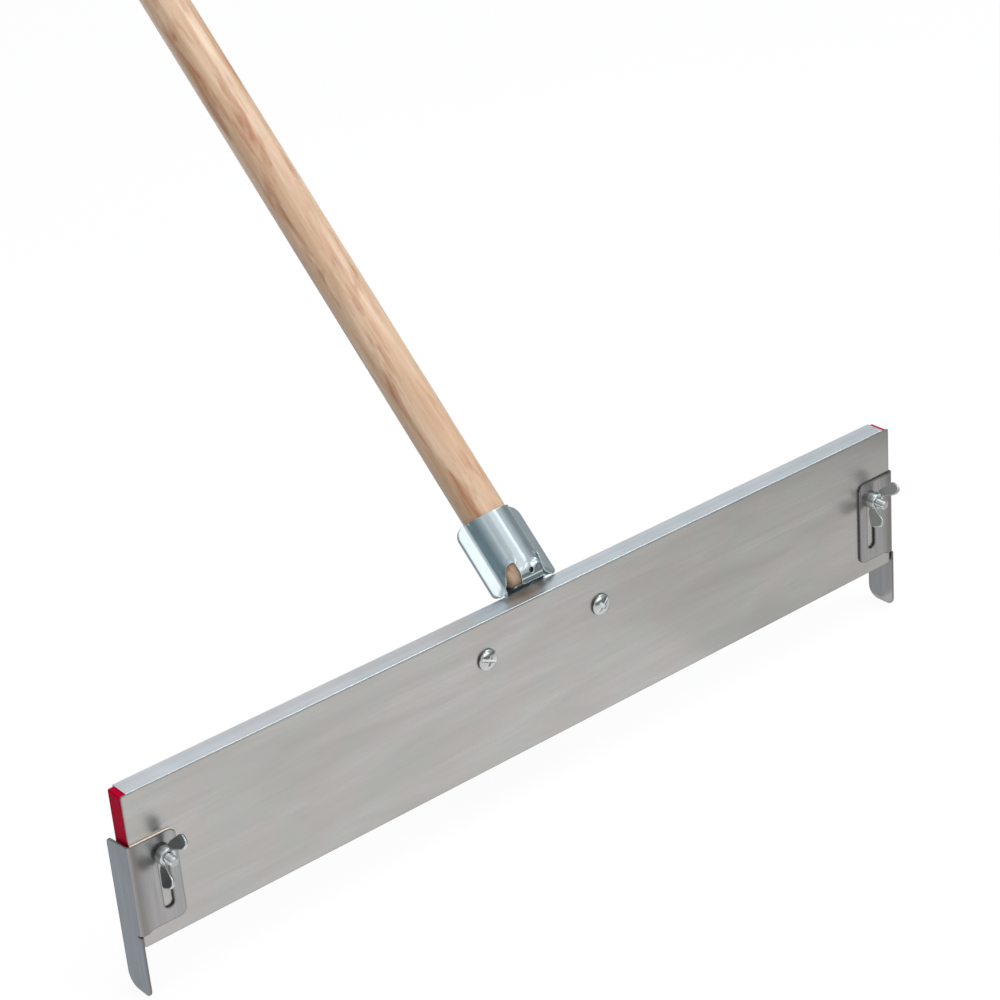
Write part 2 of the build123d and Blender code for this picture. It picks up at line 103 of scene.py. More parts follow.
def linear(hex_colour):
    """An sRGB hex colour as linear red, green, blue and alpha."""
    parts = [int(hex_colour[i:i + 2], 16) / 255 for i in (1, 3, 5)]
    return tuple(c / 12.92 if c <= 0.04045 else ((c + 0.055) / 1.055) ** 2.4 for c in parts) + (1.0,)


def toned(colour, *shares):
    """A colour with its red, green and blue each taken by a share."""
    return [c * share for c, share in zip(colour, shares)] + [1.0]


def per_mm(size):
    """Texture scale, in repeats per metre, of a pattern whose repeat is this many millimetres."""
    return 1000.0 / size


def in_mm(name, description, default, least, most):
    """A property for a length, given here in millimetres."""
    return bpy.props.FloatProperty(
        name=name, description=description, default=default * MM, min=least * MM, max=most * MM, unit="LENGTH")


def in_degrees(name, description, degrees):
    """A property for an angle, given here in degrees."""
    return bpy.props.FloatProperty(
        name=name, description=description, default=math.radians(degrees), subtype="ANGLE")


def in_hex(name, description, hex_colour):
    """A property for a colour."""
    return bpy.props.FloatVectorProperty(
        name=name, description=description, default=linear(hex_colour), size=4, min=0, max=1, subtype="COLOR")


class SpreaderSizes(bpy.types.PropertyGroup):
    """Sizes of the finish and the small forms, apart from those that the solids give."""

    sheet_edge: in_mm("Sheet edge", "Radius broken on the edges of the sheet pieces", 0.28, 0.05, 0.45)
    skid_sheet: in_mm("Skid sheet", "Thickness of the skids' sheet", 1.5, 0.8, 2.0)
    socket_sheet: in_mm("Socket sheet", "Thickness of the handle socket's sheet", 1.2, 0.8, 1.5)
    thread_pitch: in_mm("Thread pitch", "Distance from one thread to the next on bolts and screws", 1.0, 0.5, 2.0)
    thread_depth: in_mm("Thread depth", "Depth of the thread's groove", 0.3, 0.1, 0.8)
    wing_thickness: in_mm("Wing thickness", "Thickness of a wing of the wing nuts", 2.2, 1.0, 2.6)
    left_wing_turn: in_degrees("Left wing nut", "How far the left wing nut is turned on its bolt", 60)
    right_wing_turn: in_degrees("Right wing nut", "How far the right wing nut is turned on its bolt", 50)
    left_screw_turn: in_degrees("Left screw", "How far the slot of the left socket screw is turned from level", -24)
    right_screw_turn: in_degrees("Right screw", "How far the slot of the right socket screw is turned from level", 38)
    handle_radius: in_mm("Handle radius", "Radius of the turned handle", GRIP["dims"]["r_mm"], 10, 14)


class SpreaderColours(bpy.types.PropertyGroup):
    """Colours of the finishes."""

    stainless: in_hex("Wear plate steel", "Satin stainless sheet along the blade's front", "#B4B3B1")
    skid_steel: in_hex("Skid steel", "Satin stainless sheet of the skids", "#A2A2A3")
    aluminium: in_hex("Beam aluminium", "Drawn aluminium of the hollow blade", "#DADDE0")
    red_plastic: in_hex("End plug plastic", "Moulded plastic of the plugs in the blade's ends", "#A60027")
    socket_zinc: in_hex("Socket zinc", "Zinc plating of the handle socket", "#C6D2D8")
    fastener_zinc: in_hex("Fastener zinc", "Zinc plating of the bolts, screws, nuts and washers", "#DADDDF")
    wing_nut_zinc: in_hex("Wing nut zinc", "Plating of the cast wing nuts", "#C8CBCC")
    wood_pale: in_hex("Pale wood", "Early wood of the handle", "#CFB397")
    wood_dark: in_hex("Streaked wood", "Late wood of the handle", "#AF8765")
    wood_red: in_hex("Reddish wood", "Short reddish patches of the handle", "#A26C49")


def add_node(tree, kind, inputs=(), **settings):
    """One node with its settings. Its inputs come by name, or in order; each is a value, a socket to link from, or
    a node, whose first output is then meant."""
    made = tree.nodes.new(kind)
    for name, value in settings.items():
        setattr(made, name, value)
    used = [socket for socket in made.inputs if socket.enabled]
    if isinstance(inputs, dict):
        used = [next(socket for socket in used if socket.name == name) for name in inputs]
        inputs = inputs.values()
    for socket, value in zip(used, inputs):
        if isinstance(value, bpy.types.Node):
            value = next(output for output in value.outputs if output.enabled)
        if isinstance(value, bpy.types.NodeSocket):
            tree.links.new(value, socket)
        else:
            socket.default_value = value
    return made


def emptied(owner):
    """Clears the nodes of a material or a world, and gives the function that adds a node to it."""
    owner.use_nodes = True
    owner.node_tree.nodes.clear()
    return partial(add_node, owner.node_tree)


def rolled_stainless(node, place, colour, roughness, streak, contrast, cut_tone):
    """Stainless sheet, cold rolled and left satin: soft-edged reflections, cloudy streaks and fine lines along
    the rolling, a slight unevenness that bends what it mirrors, painted shade that darkens and browns it along
    its bends, and edges that the cutting beam has left rough and tanned, with painted shade on some and a pale
    cream painted highlight on others. streak is the size of a fine line in millimetres, and contrast its share of the
    tone."""
    # Real rolling lines are finer than 0.1 mm; they are drawn about 2 mm wide so that they show.
    fine = node(MAPPING, {"Vector": place, "Scale": [per_mm(size) for size in streak]})
    lines = node(NOISE, {"Vector": fine, "Scale": 1.0, "Detail": 1.0, "Roughness": 0.5})
    coarse = [per_mm(size * 2 if size > 10 else size * 8) for size in streak]
    broad = node(MAPPING, {"Vector": place, "Scale": coarse})
    smear = node(NOISE, {"Vector": broad, "Scale": 1.0, "Detail": 4.0, "Roughness": 0.55, "Distortion": 0.8})
    buckle = node(NOISE, {"Vector": place, "Scale": per_mm(80), "Detail": 1.0})
    bloom = node(NOISE, {"Vector": place, "Scale": per_mm(30), "Detail": 3.0})

    smeared = node(RANGE, (smear, 0.32, 0.7))
    clear, dull = toned(colour, 1.045, 1.045, 1.045), toned(colour, 0.92, 0.915, 0.91)
    tint = node(MIX, (smeared, clear, dull), data_type="RGBA")
    warm = node(RANGE, (bloom, 0.35, 0.65))
    cast = node(MIX, (warm, (0.98, 1.0, 0.985, 1.0), (1.015, 0.98, 0.98, 1.0)), data_type="RGBA")
    hued = node(VECTOR_MATH, (tint, cast), operation="MULTIPLY")
    drawn = node(RANGE, (lines, 0.3, 0.7, 1 + contrast, 1 - contrast))
    streaked = node(VECTOR_MATH, (hued, drawn), operation="SCALE")
    # Painted shade: darker and brownish along the bends, where the pieces mark it.
    bend_shade_share = node(ATTRIBUTE, attribute_name="bend_wear").outputs["Fac"]
    bend_shaded = node(MIX, (bend_shade_share, streaked, toned(colour, 0.5, 0.47, 0.44)), data_type="RGBA")
    # The edges' tan, with painted shade where a piece marks an edge darker than its cutting left it.
    cut = node(ATTRIBUTE, attribute_name="cut_edge").outputs["Fac"]
    tan_and_painted_light = node(MIX, (cut, bend_shaded, toned(colour, *cut_tone)), data_type="RGBA")
    # Painted highlight: an edge marked above 1 turns pale cream and nearly loses its metal, as if it caught a lamp.
    painted_highlight_share = node(RANGE, (cut, 1.0, 1.4))
    painted_highlight_tone = node(MIX, (painted_highlight_share, tan_and_painted_light, linear("#EBDACB")), data_type="RGBA")

    metal = node(MATH, (painted_highlight_share, -0.85, 1.0), operation="MULTIPLY_ADD")
    lined = node(RANGE, (lines, 0.3, 0.7, roughness - 0.02, roughness + 0.02))
    smudged = node(MATH, (smeared, 0.05, lined), operation="MULTIPLY_ADD")
    rough = node(MATH, (cut, 0.08, smudged), operation="MULTIPLY_ADD")
    uneven = node(BUMP, {"Height": buckle, "Strength": 1.0, "Distance": 0.4 * MM})
    return node(PRINCIPLED, {"Base Color": painted_highlight_tone, "Metallic": metal, "Roughness": rough, "Normal": uneven})


def drawn_aluminium(node, place, colour):
    """Aluminium, pressed through a die and left as it came: bluish, with fine straight die lines along
    the beam that streak its reflections."""
    # Real die lines are about 0.2 mm apart; they are drawn 1.1 mm apart so that they show.
    stretched = node(MAPPING, {"Vector": place, "Scale": (per_mm(600), per_mm(1.1), per_mm(1.1))})
    lines = node(NOISE, {"Vector": stretched, "Scale": 1.0, "Detail": 3.0, "Roughness": 0.65})
    bloom = node(NOISE, {"Vector": place, "Scale": per_mm(35), "Detail": 4.0})
    die = node(MAPPING, {"Vector": place, "Scale": (per_mm(900), per_mm(6), per_mm(6))})
    bands = node(NOISE, {"Vector": die, "Scale": 1.0, "Detail": 4.0})

    clouded = node(RANGE, (bloom, 0.35, 0.7))
    tint = node(MIX, (clouded, colour, toned(colour, 0.9, 0.9, 0.89)), data_type="RGBA")
    banded = node(RANGE, (bands, 0.35, 0.65, 1.04, 0.92))
    drawn = node(VECTOR_MATH, (tint, banded), operation="SCALE")
    lined = node(RANGE, (lines, 0.3, 0.7, 0.32, 0.46))
    grooved = node(BUMP, {"Height": lines, "Strength": 0.35, "Distance": 0.03 * MM})
    return node(PRINCIPLED, {"Base Color": drawn, "Metallic": 1.0, "Roughness": lined, "Normal": grooved})


def moulded_polyethylene(node, place, colour):
    """Polyethylene, injection moulded in red: waxy, with a low sheen and a faint grain from the mould."""
    # The mould's grain is finer than 0.2 mm; it is drawn at 0.5 mm so that it shows.
    grain = node(NOISE, {"Vector": place, "Scale": per_mm(0.5), "Detail": 2.0})
    flow = node(NOISE, {"Vector": place, "Scale": per_mm(14), "Detail": 3.0})
    tint = node(MIX, (flow, toned(colour, 0.88, 0.88, 0.88), toned(colour, 1.1, 1.1, 1.1)), data_type="RGBA")
    sheen = node(RANGE, (flow, 0.3, 0.7, 0.3, 0.42))
    pebbled = node(BUMP, {"Height": grain, "Strength": 0.2, "Distance": 0.04 * MM})
    return node(PRINCIPLED, {
        "Base Color": tint, "Roughness": sheen, "Specular IOR Level": 0.01, "Normal": pebbled})


def bright_zinc(node, place, colour, roughness, dent, dent_depth, patch):
    """Steel with bright zinc plating: sharp, high-contrast reflections, cool with faint yellowish patches of
    the passivation, over small dents of pressing or casting, and darkened with painted shade where a piece marks it."""
    bath = node(NOISE, {"Vector": place, "Scale": per_mm(patch), "Detail": 4.0, "Distortion": 0.8})
    speckle = node(NOISE, {"Vector": place, "Scale": per_mm(patch / 3), "Detail": 2.0})
    dents = node(NOISE, {"Vector": place, "Scale": per_mm(dent), "Detail": 2.0})
    bathed = node(RANGE, (bath, 0.35, 0.68))
    tint = node(MIX, (bathed, colour, toned(colour, 0.93, 0.92, 0.88)), data_type="RGBA")
    # Painted shade: where a piece marks it, the plating is darkened towards a fifth of its tone.
    rim = node(ATTRIBUTE, attribute_name="rim_soil").outputs["Fac"]
    shade_darkened = node(MIX, (rim, tint, toned(colour, 0.2, 0.19, 0.18)), data_type="RGBA")
    gloss = node(RANGE, (speckle, 0.3, 0.7, roughness - 0.02, roughness + 0.03))
    dented = node(BUMP, {"Height": dents, "Strength": 1.0, "Distance": dent_depth * MM})
    return node(PRINCIPLED, {"Base Color": shade_darkened, "Metallic": 1.0, "Roughness": gloss, "Normal": dented})


def lacquered_wood(node, place, pale, dark, red):
    """Hardwood, turned and given a thin satin lacquer: pinkish tan, with darker late wood and short reddish patches
    along the handle, fine fibres, short dark pores, a soft sheen, and a painted shadow where the socket's nail hole
    lies over it."""
    lean = math.atan2(ALONG.y, ALONG.z)
    along = node(MAPPING, {"Vector": place, "Rotation": (lean, 0.0, 0.0)})

    def grain(across, length, detail, distortion=0.0, shift=(0.0, 0.0, 0.0)):
        """Noise drawn out along the handle, by its width and length in millimetres."""
        scale = (per_mm(across), per_mm(across), per_mm(length))
        drawn = node(MAPPING, {"Vector": along, "Location": shift, "Scale": scale})
        return node(NOISE, {
            "Vector": drawn, "Scale": 1.0, "Detail": detail, "Roughness": 0.6, "Distortion": distortion})

    late = grain(9.0, 130.0, 3.0, 0.25, (25.3, 33.8, 23.3))
    patches = grain(7.0, 48.0, 3.0, 0.4, (24.2, 12.0, 36.6))
    # The fibres are about 0.1 mm wide; they are drawn 0.8 mm wide so that they show.
    fibres = grain(0.8, 30.0, 3.0)
    pores = grain(1.0, 7.0, 1.0)

    base = node(MIX, (node(RANGE, (late, 0.36, 0.7)), pale, dark), data_type="RGBA")
    flamed = node(MIX, (node(RANGE, (patches, 0.52, 0.7, 0.0, 0.95)), base, red), data_type="RGBA")
    fibred = node(RANGE, (fibres, 0.3, 0.72, 1.04, 0.92))
    pored = node(RANGE, (pores, 0.64, 0.76, 1.0, 0.8))
    shade = node(MATH, (fibred, pored), operation="MULTIPLY")
    grained = node(VECTOR_MATH, (flamed, shade), operation="SCALE")
    # Painted shadow: the wood under the socket's nail hole is darkened; the handle has no hole there.
    hole_shadow = node(ATTRIBUTE, attribute_name="pilot_hole").outputs["Fac"]
    hole_shaded = node(MIX, (hole_shadow, grained, linear("#2A1512")), data_type="RGBA")
    satin = node(RANGE, (fibres, 0.3, 0.7, 0.4, 0.56))
    ribbed = node(BUMP, {"Height": fibres, "Strength": 0.25, "Distance": 0.06 * MM})
    return node(PRINCIPLED, {
        "Base Color": hole_shaded, "Roughness": satin, "Normal": ribbed, "Coat Weight": 0.55, "Coat Roughness": 0.26})


# Each finish: the function that makes it, the colours it takes, and what else it is told.
FINISHES = {
    "satin_stainless": (rolled_stainless, ["stainless"], (0.27, (60, 60, 2.4), 0.014, (0.5, 0.485, 0.47))),
    "satin_skid_steel": (rolled_stainless, ["skid_steel"], (0.27, (1.5, 1.5, 45), 0.07, (0.26, 0.235, 0.215))),
    "drawn_aluminium": (drawn_aluminium, ["aluminium"], ()),
    "red_polyethylene": (moulded_polyethylene, ["red_plastic"], ()),
    "socket_zinc": (bright_zinc, ["socket_zinc"], (0.17, 9, 0.08, 16)),
    "dull_socket_zinc": (bright_zinc, ["socket_zinc"], (0.38, 9, 0.08, 16)),
    "fastener_zinc": (bright_zinc, ["fastener_zinc"], (0.17, 4, 0.008, 6)),
    "cast_zinc": (bright_zinc, ["wing_nut_zinc"], (0.22, 4, 0.015, 9)),
    "lacquered_wood": (lacquered_wood, ["wood_pale", "wood_dark", "wood_red"], ()),
}


def finish(name):
    """The named finish, made on its first use in the colours that the scene's properties hold."""
    if name not in bpy.data.materials:
        maker, colours, settings = FINISHES[name]
        held = bpy.context.scene.spreader_colours
        node = emptied(bpy.data.materials.new(name))
        place = node("ShaderNodeTexCoord").outputs["Object"]
        shader = maker(node, place, *[tuple(getattr(held, colour)) for colour in colours], *settings)
        node(OUTPUT, {"Surface": shader})
    return bpy.data.materials[name]


def steps(low, high, count):
    """Evenly spaced values from low to high, both included."""
    return [low + (high - low) * k / count for k in range(count + 1)]


def rounded_outline(corners, step=math.radians(10)):
    """A closed outline through corners given as (across, up, radius), each rounded with its radius."""
    points = []
    for i, (across, up, radius) in enumerate(corners):
        here = Vector((across, up))
        back = (Vector(corners[i - 1][:2]) - here).normalized()
        on = (Vector(corners[(i + 1) % len(corners)][:2]) - here).normalized()
        half = back.angle(on) / 2
        if radius <= 0 or half > math.radians(89.5):
            points.append(here)
            continue
        reach = radius / math.tan(half)
        centre = here + (back + on).normalized() * (radius / math.sin(half))
        first, last = here + back * reach - centre, here + on * reach - centre
        start = math.atan2(first.y, first.x)
        sweep = (math.atan2(last.y, last.x) - start + math.pi) % math.tau - math.pi
        count = max(2, math.ceil(abs(sweep) / step))
        for k in range(count + 1):
            turn = start + sweep * k / count
            points.append(centre + Vector((math.cos(turn), math.sin(turn))) * radius)
    return points


def round_hole(across, up, radius, count=32):
    """A closed round outline, run clockwise, as a hole in a sheet is."""
    turns = [-math.tau * k / count for k in range(count)]
    return [Vector((across + radius * math.cos(turn), up + radius * math.sin(turn))) for turn in turns]


def shifted(loop, distance):
    """The loop moved to its left by a distance, each corner along its own mean normal."""
    moved = []
    for i, here in enumerate(loop):
        into = (here - loop[i - 1]).normalized()
        out = (loop[(i + 1) % len(loop)] - here).normalized()
        first, last = Vector((-into.y, into.x)), Vector((-out.y, out.x))
        moved.append(here + (first + last) * (distance / max(0.35, 1 + first.dot(last))))
    return moved


def inside(point, loops):
    """Whether the point is inside the first loop and outside the others, by counting crossings."""
    crossings = 0
    for loop in loops:
        for i, b in enumerate(loop):
            a = loop[i - 1]
            if (a.y > point.y) != (b.y > point.y):
                crossings += point.x < a.x + (b.x - a.x) * (point.y - a.y) / (b.y - a.y)
    return crossings % 2 == 1


def filled(loops, across_lines, along_lines, bands=()):
    """Points and triangles that fill the first loop apart from the others, with edges along the lines and round
    the bands given."""
    points, edges = [], []
    for loop in [*loops, *bands]:
        edges += [(len(points) + k, len(points) + (k + 1) % len(loop)) for k in range(len(loop))]
        points += loop
    rim_edges = sum(map(len, loops))
    low, high = [min(c) - 1 for c in zip(*loops[0])], [max(c) + 1 for c in zip(*loops[0])]
    lines = [((across, low[1]), (across, high[1])) for across in across_lines]
    lines += [((low[0], along), (high[0], along)) for along in along_lines]
    for line in lines:
        edges.append((len(points), len(points) + 1))
        points += map(Vector, line)
    spots, found, triangles, _, sources, _ = delaunay_2d_cdt(points, edges, [], 0, 1e-4)

    walls = {frozenset(line) for line, source in zip(found, sources) if any(i < rim_edges for i in source)}
    beside = {}
    for t in triangles:
        for i in range(3):
            beside.setdefault(frozenset((t[i], t[i - 1])), []).append(tuple(t))
    kept, left = [], set(map(tuple, triangles))
    while left:
        region, front = [], [left.pop()]
        while front:
            t = front.pop()
            region.append(t)
            for i in range(3):
                side = frozenset((t[i], t[i - 1]))
                for other in () if side in walls else beside[side]:
                    if other in left:
                        left.remove(other)
                        front.append(other)
        corners = [[spots[i] for i in t] for t in region]
        broadest = max(corners, key=lambda c: abs((c[1] - c[0]).cross(c[2] - c[0])))
        if inside((broadest[0] + broadest[1] + broadest[2]) / 3, loops):
            kept += region
    return spots, kept


def pressed_sheet(outlines, sheet, edge, across_lines, along_lines, place, cut=None, wear=None):
    """A closed sheet in a new mesh. outlines are its rim, anticlockwise, and its holes, clockwise, on the flat
    blank in millimetres; its edges are rounded; place(across, along, depth) bends it to its shape. cut(across,
    along) is how far the cutting has tanned an edge, with painted shade and a painted highlight laid on some edges
    through it, and the last argument is how far painted shade darkens the sheet along its bend."""
    band_width, face_tan = 0.8, 0.55
    bands = [shifted(loop, edge + band_width) for loop in outlines] if cut else []
    spots, kept = filled([shifted(loop, edge) for loop in outlines], across_lines, along_lines, bands)
    sides = {(t[i], t[(i + 1) % 3]) for t in kept for i in range(3)}
    rim_sides = [(a, b) for a, b in sides if (b, a) not in sides]
    onward = dict(rim_sides)
    if len(onward) < len(rim_sides):
        raise ValueError("the rim of a sheet touches itself")
    mesh = bmesh.new()
    # The first layer holds the edges' tan together with painted shade and a painted highlight; the second holds
    # painted shade along bends.
    tan_and_painted_light = mesh.verts.layers.float.new("cut_edge")
    bend_shade_share = mesh.verts.layers.float.new("bend_wear")

    def spot(across, along, depth, tan):
        made = mesh.verts.new(place(across, along, depth))
        made[tan_and_painted_light] = tan * cut(across, along) if cut else 0.0
        made[bend_shade_share] = wear(across, along) if wear else 0.0
        return made

    used = sorted({i for t in kept for i in t})
    face = {i: spot(spots[i].x, spots[i].y, 0.0, face_tan if i in onward else 0.0) for i in used}
    back = {i: spot(spots[i].x, spots[i].y, sheet, face_tan if i in onward else 0.0) for i in used}
    for a, b, c in kept:
        mesh.faces.new((face[a], face[b], face[c]))
        mesh.faces.new((back[c], back[b], back[a]))
    rows = []
    for turn, tan in ((30, 0.5), (60, 0.7), (90, 1.0)):
        turn = math.radians(turn)
        rows.append((edge * math.sin(turn), edge * (1 - math.cos(turn)), tan))
    rows += [(out, sheet - depth, tan) for out, depth, tan in reversed(rows)]
    while onward:
        chain = [next(iter(onward))]
        while onward[chain[-1]] != chain[0]:
            chain.append(onward[chain[-1]])
        for i in chain:
            del onward[i]
        rim = [spots[i] for i in chain]
        rings = [[face[i] for i in chain]]
        for out, depth, tan in rows:
            rings.append([spot(p.x, p.y, depth, tan) for p in shifted(rim, -out)])
        rings.append([back[i] for i in chain])
        for upper, lower in zip(rings, rings[1:]):
            for k in range(len(chain)):
                mesh.faces.new((upper[k], upper[k - 1], lower[k - 1], lower[k]))
    bmesh.ops.recalc_face_normals(mesh, faces=mesh.faces)
    return mesh


def turned_ring(profile, segments, place):
    """A turned shape in a new mesh. profile runs from the axis to the axis, or closed for a ring, as (radius,
    height) in millimetres; a radius may be a function of the angle; place maps (x, y, height) to its place."""
    mesh = bmesh.new()
    rings = []
    for radius, height in profile:
        if not callable(radius) and radius < 1e-6:
            rings.append([mesh.verts.new(place(0.0, 0.0, height))])
            continue
        ring = []
        for k in range(segments):
            turn = math.tau * k / segments
            r = radius(turn) if callable(radius) else radius
            ring.append(mesh.verts.new(place(r * math.cos(turn), r * math.sin(turn), height)))
        rings.append(ring)
    pairs = list(zip(rings, rings[1:]))
    if len(rings[0]) > 1 and len(rings[-1]) > 1:
        pairs.append((rings[-1], rings[0]))
    for lower, upper in pairs:
        for k in range(segments):
            n = (k + 1) % segments
            if len(lower) == 1:
                mesh.faces.new((lower[0], upper[n], upper[k]))
            elif len(upper) == 1:
                mesh.faces.new((lower[k], lower[n], upper[0]))
            else:
                mesh.faces.new((lower[k], lower[n], upper[n], upper[k]))
    bmesh.ops.recalc_face_normals(mesh, faces=mesh.faces)
    return mesh


def shown(data, name):
    """A new object in the scene for the data."""
    piece = bpy.data.objects.new(name, data)
    bpy.context.scene.collection.objects.link(piece)
    return piece


def built(mesh, name):
    """A new object in the scene from the bmesh, which is then freed."""
    data = bpy.data.meshes.new(name)
    mesh.to_mesh(data)
    mesh.free()
    return shown(data, name)


def joined(name, parts):
    """One new object from several plain ones, which are removed."""
    mesh = bmesh.new()
    for part in parts:
        data = part.data
        mesh.from_mesh(data)
        bpy.data.objects.remove(part)
        bpy.data.meshes.remove(data)
    return built(mesh, name)


def marked(piece, name, share):
    """Gives each point of a piece a share, from its place, that the named attribute holds for its finish."""
    layer = piece.data.attributes.new(name, "FLOAT", "POINT")
    for point, spot in zip(piece.data.vertices, layer.data):
        spot.value = share(point.co)


def settled(piece):
    """The piece with its mesh as its modifiers leave it, and the modifiers gone."""
    result = bpy.data.meshes.new_from_object(piece.evaluated_get(bpy.context.evaluated_depsgraph_get()))
    old = piece.data
    piece.modifiers.clear()
    result.name = piece.name
    piece.data = result
    bpy.data.meshes.remove(old)
    return piece


def fitted(piece, material, body, node, sharp=40):
    """Finishes a piece: smooth shading that keeps flat faces flat, its material, and what it stands for."""
    for polygon in piece.data.polygons:
        polygon.use_smooth = True
    piece.data.set_sharp_from_angle(angle=math.radians(sharp))
    even = piece.modifiers.new("even_shading", "WEIGHTED_NORMAL")
    even.keep_sharp = True
    even.weight = 80
    settled(piece)
    piece.data.materials.clear()
    piece.data.materials.append(finish(material))
    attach(piece, body)
    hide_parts(node)


def threaded_shank(node, given):
    """A threaded shank that stands on the origin, with a chamfered tip."""
    place = node("ShaderNodeSeparateXYZ", (node("GeometryNodeInputPosition"),)).outputs
    known = {socket.name: socket for socket in (*given, *place)}

    def reckon(*sums):
        for name, operation, first, second in sums:
            values = (known.get(first, first), known.get(second, second))
            known[name] = node(MATH, values, operation=operation)

    reckon(
        ("turns", "DIVIDE", "Length", "Pitch"), ("rows", "MULTIPLY", "turns", 10.0),
        ("half", "MULTIPLY", "Length", 0.5), ("height", "ADD", "Z", "half"),
        ("angle", "ARCTAN2", "Y", "X"), ("lead", "DIVIDE", "angle", math.tau),
        ("climb", "DIVIDE", "height", "Pitch"), ("phase", "SUBTRACT", "climb", "lead"),
        ("wave", "PINGPONG", "phase", 0.5))
    known["flank"] = node(RANGE, (known["wave"], 0.14, 0.42))
    reckon(
        ("groove", "MULTIPLY", "flank", "Depth"), ("left", "SUBTRACT", "Length", "height"),
        ("taper", "SUBTRACT", "Tip", "left"), ("cut", "MAXIMUM", "groove", "taper"),
        ("reach", "SUBTRACT", "Radius", "cut"), ("share", "DIVIDE", "reach", "Radius"),
        ("across", "MULTIPLY", "X", "share"), ("aside", "MULTIPLY", "Y", "share"))
    rod = node("GeometryNodeMeshCylinder", {
        "Vertices": 40, "Side Segments": known["rows"], "Radius": given["Radius"], "Depth": given["Length"]})
    moved = node("ShaderNodeCombineXYZ", (known["across"], known["aside"], known["height"]))
    return node("GeometryNodeSetPosition", {"Geometry": rod, "Position": moved})


def flat_washer(node, given):
    """A flat washer round the origin: a rounded profile swept round a circle."""
    outer, hole = given["Outer Radius"], given["Hole Radius"]
    total = node(MATH, (outer, hole), operation="ADD")
    middle = node(MATH, (total, 0.5), operation="MULTIPLY")
    width = node(MATH, (outer, hole), operation="SUBTRACT")
    path = node("GeometryNodeCurvePrimitiveCircle", {"Resolution": 56, "Radius": middle})
    blank = node("GeometryNodeCurvePrimitiveQuadrilateral", {"Width": width, "Height": given["Thickness"]})
    rounded = node("GeometryNodeFilletCurve", {"Curve": blank, "Count": 3, "Radius": given["Edge"]}, mode="POLY")
    return node("GeometryNodeCurveToMesh", {"Curve": path, "Profile Curve": rounded})


def grown(name, shape, lengths):
    """A plain piece from the geometry tree of a shape, which is made on its first use, with its named inputs set."""
    tree = bpy.data.node_groups.get(shape.__name__)
    if not tree:
        tree = bpy.data.node_groups.new(shape.__name__, "GeometryNodeTree")
        for given in lengths:
            tree.interface.new_socket(given, in_out="INPUT", socket_type="NodeSocketFloat").subtype = "DISTANCE"
        tree.interface.new_socket("Geometry", in_out="OUTPUT", socket_type="NodeSocketGeometry")
        node = partial(add_node, tree)
        form = shape(node, node("NodeGroupInput").outputs)
        whole = node("GeometryNodeRealizeInstances", {"Geometry": form})
        plated = node("GeometryNodeSetMaterial", {"Geometry": whole, "Material": finish("fastener_zinc")})
        node("NodeGroupOutput", {"Geometry": plated})
    carrier = shown(bpy.data.meshes.new(name), name)
    maker = carrier.modifiers.new(tree.name, "NODES")
    maker.node_group = tree
    for item in tree.interface.items_tree:
        if item.in_out == "INPUT":
            maker[item.identifier] = lengths[item.name]
    return settled(carrier)


def along_y(point, towards):
    """Matrix that stands a shape made along +Z at a point, along +Y or -Y."""
    return Matrix.Translation(point) @ Matrix.Rotation(math.radians(-90 if towards > 0 else 90), 4, "X")


def shank(axis, foot, towards, length, tip):
    """A thread on an axis, from its foot along +Y or -Y, with a chamfered tip."""
    sizes = bpy.context.scene.spreader_sizes
    rod = grown("shank", threaded_shank, {
        "Radius": SHANK_RADIUS * MM, "Pitch": sizes.thread_pitch, "Depth": sizes.thread_depth,
        "Length": length, "Tip": tip})
    rod.data.transform(along_y(Vector((axis.x, foot, axis.z)), towards))
    return rod


def washer(name, node, axis, towards):
    """A washer on an axis, with the sizes of the solid that it stands for."""
    low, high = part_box(node)
    ring = grown(name, flat_washer, {
        "Outer Radius": (high[0] - low[0]) / 2, "Hole Radius": HOLE_RADIUS * MM,
        "Thickness": high[1] - low[1], "Edge": 0.25 * MM})
    ring.data.transform(along_y(Vector((axis.x, (low[1] + high[1]) / 2, axis.z)), towards))
    return ring


class SPREADER_OT_blade(bpy.types.Operator):
    """Make the front wear plate and give the hollow beam and its end plugs their finishes"""

    bl_idname = "spreader.blade"
    bl_label = "Blade"

    def execute(self, context):
        half, tall, corner = PLATE_HIGH[0] / MM, PLATE_HIGH[2] / MM, 1.2
        rim = rounded_outline([(x, z, corner) for x, z in ((-half, 0), (half, 0), (half, tall), (-half, tall))])
        holes = [round_hole(side * x, z, HOLE_RADIUS) for x, z in (SCREW_SPOT, BOLT_SPOT) for side, _ in SIDES]
        mesh = pressed_sheet(
            [rim] + holes, (PLATE_HIGH[1] - PLATE_LOW[1]) / MM, 0.35 * context.scene.spreader_sizes.sheet_edge / MM,
            steps(-290, 290, 29), steps(10, 90, 8),
            lambda across, along, depth: Vector((across * MM, PLATE_LOW[1] + depth * MM, along * MM)),
            cut=lambda across, along: 0.8)
        fitted(built(mesh, "wear_plate"), "satin_stainless", "blade", "front_wear_plate")
        for node, name in (("blade_beam", "drawn_aluminium"), ("end_plug_left", "red_polyethylene"),
                           ("end_plug_right", "red_polyethylene")):
            solid = frame["nodes"][node]
            solid.data.materials.clear()
            solid.data.materials.append(finish(name))
        return {"FINISHED"}


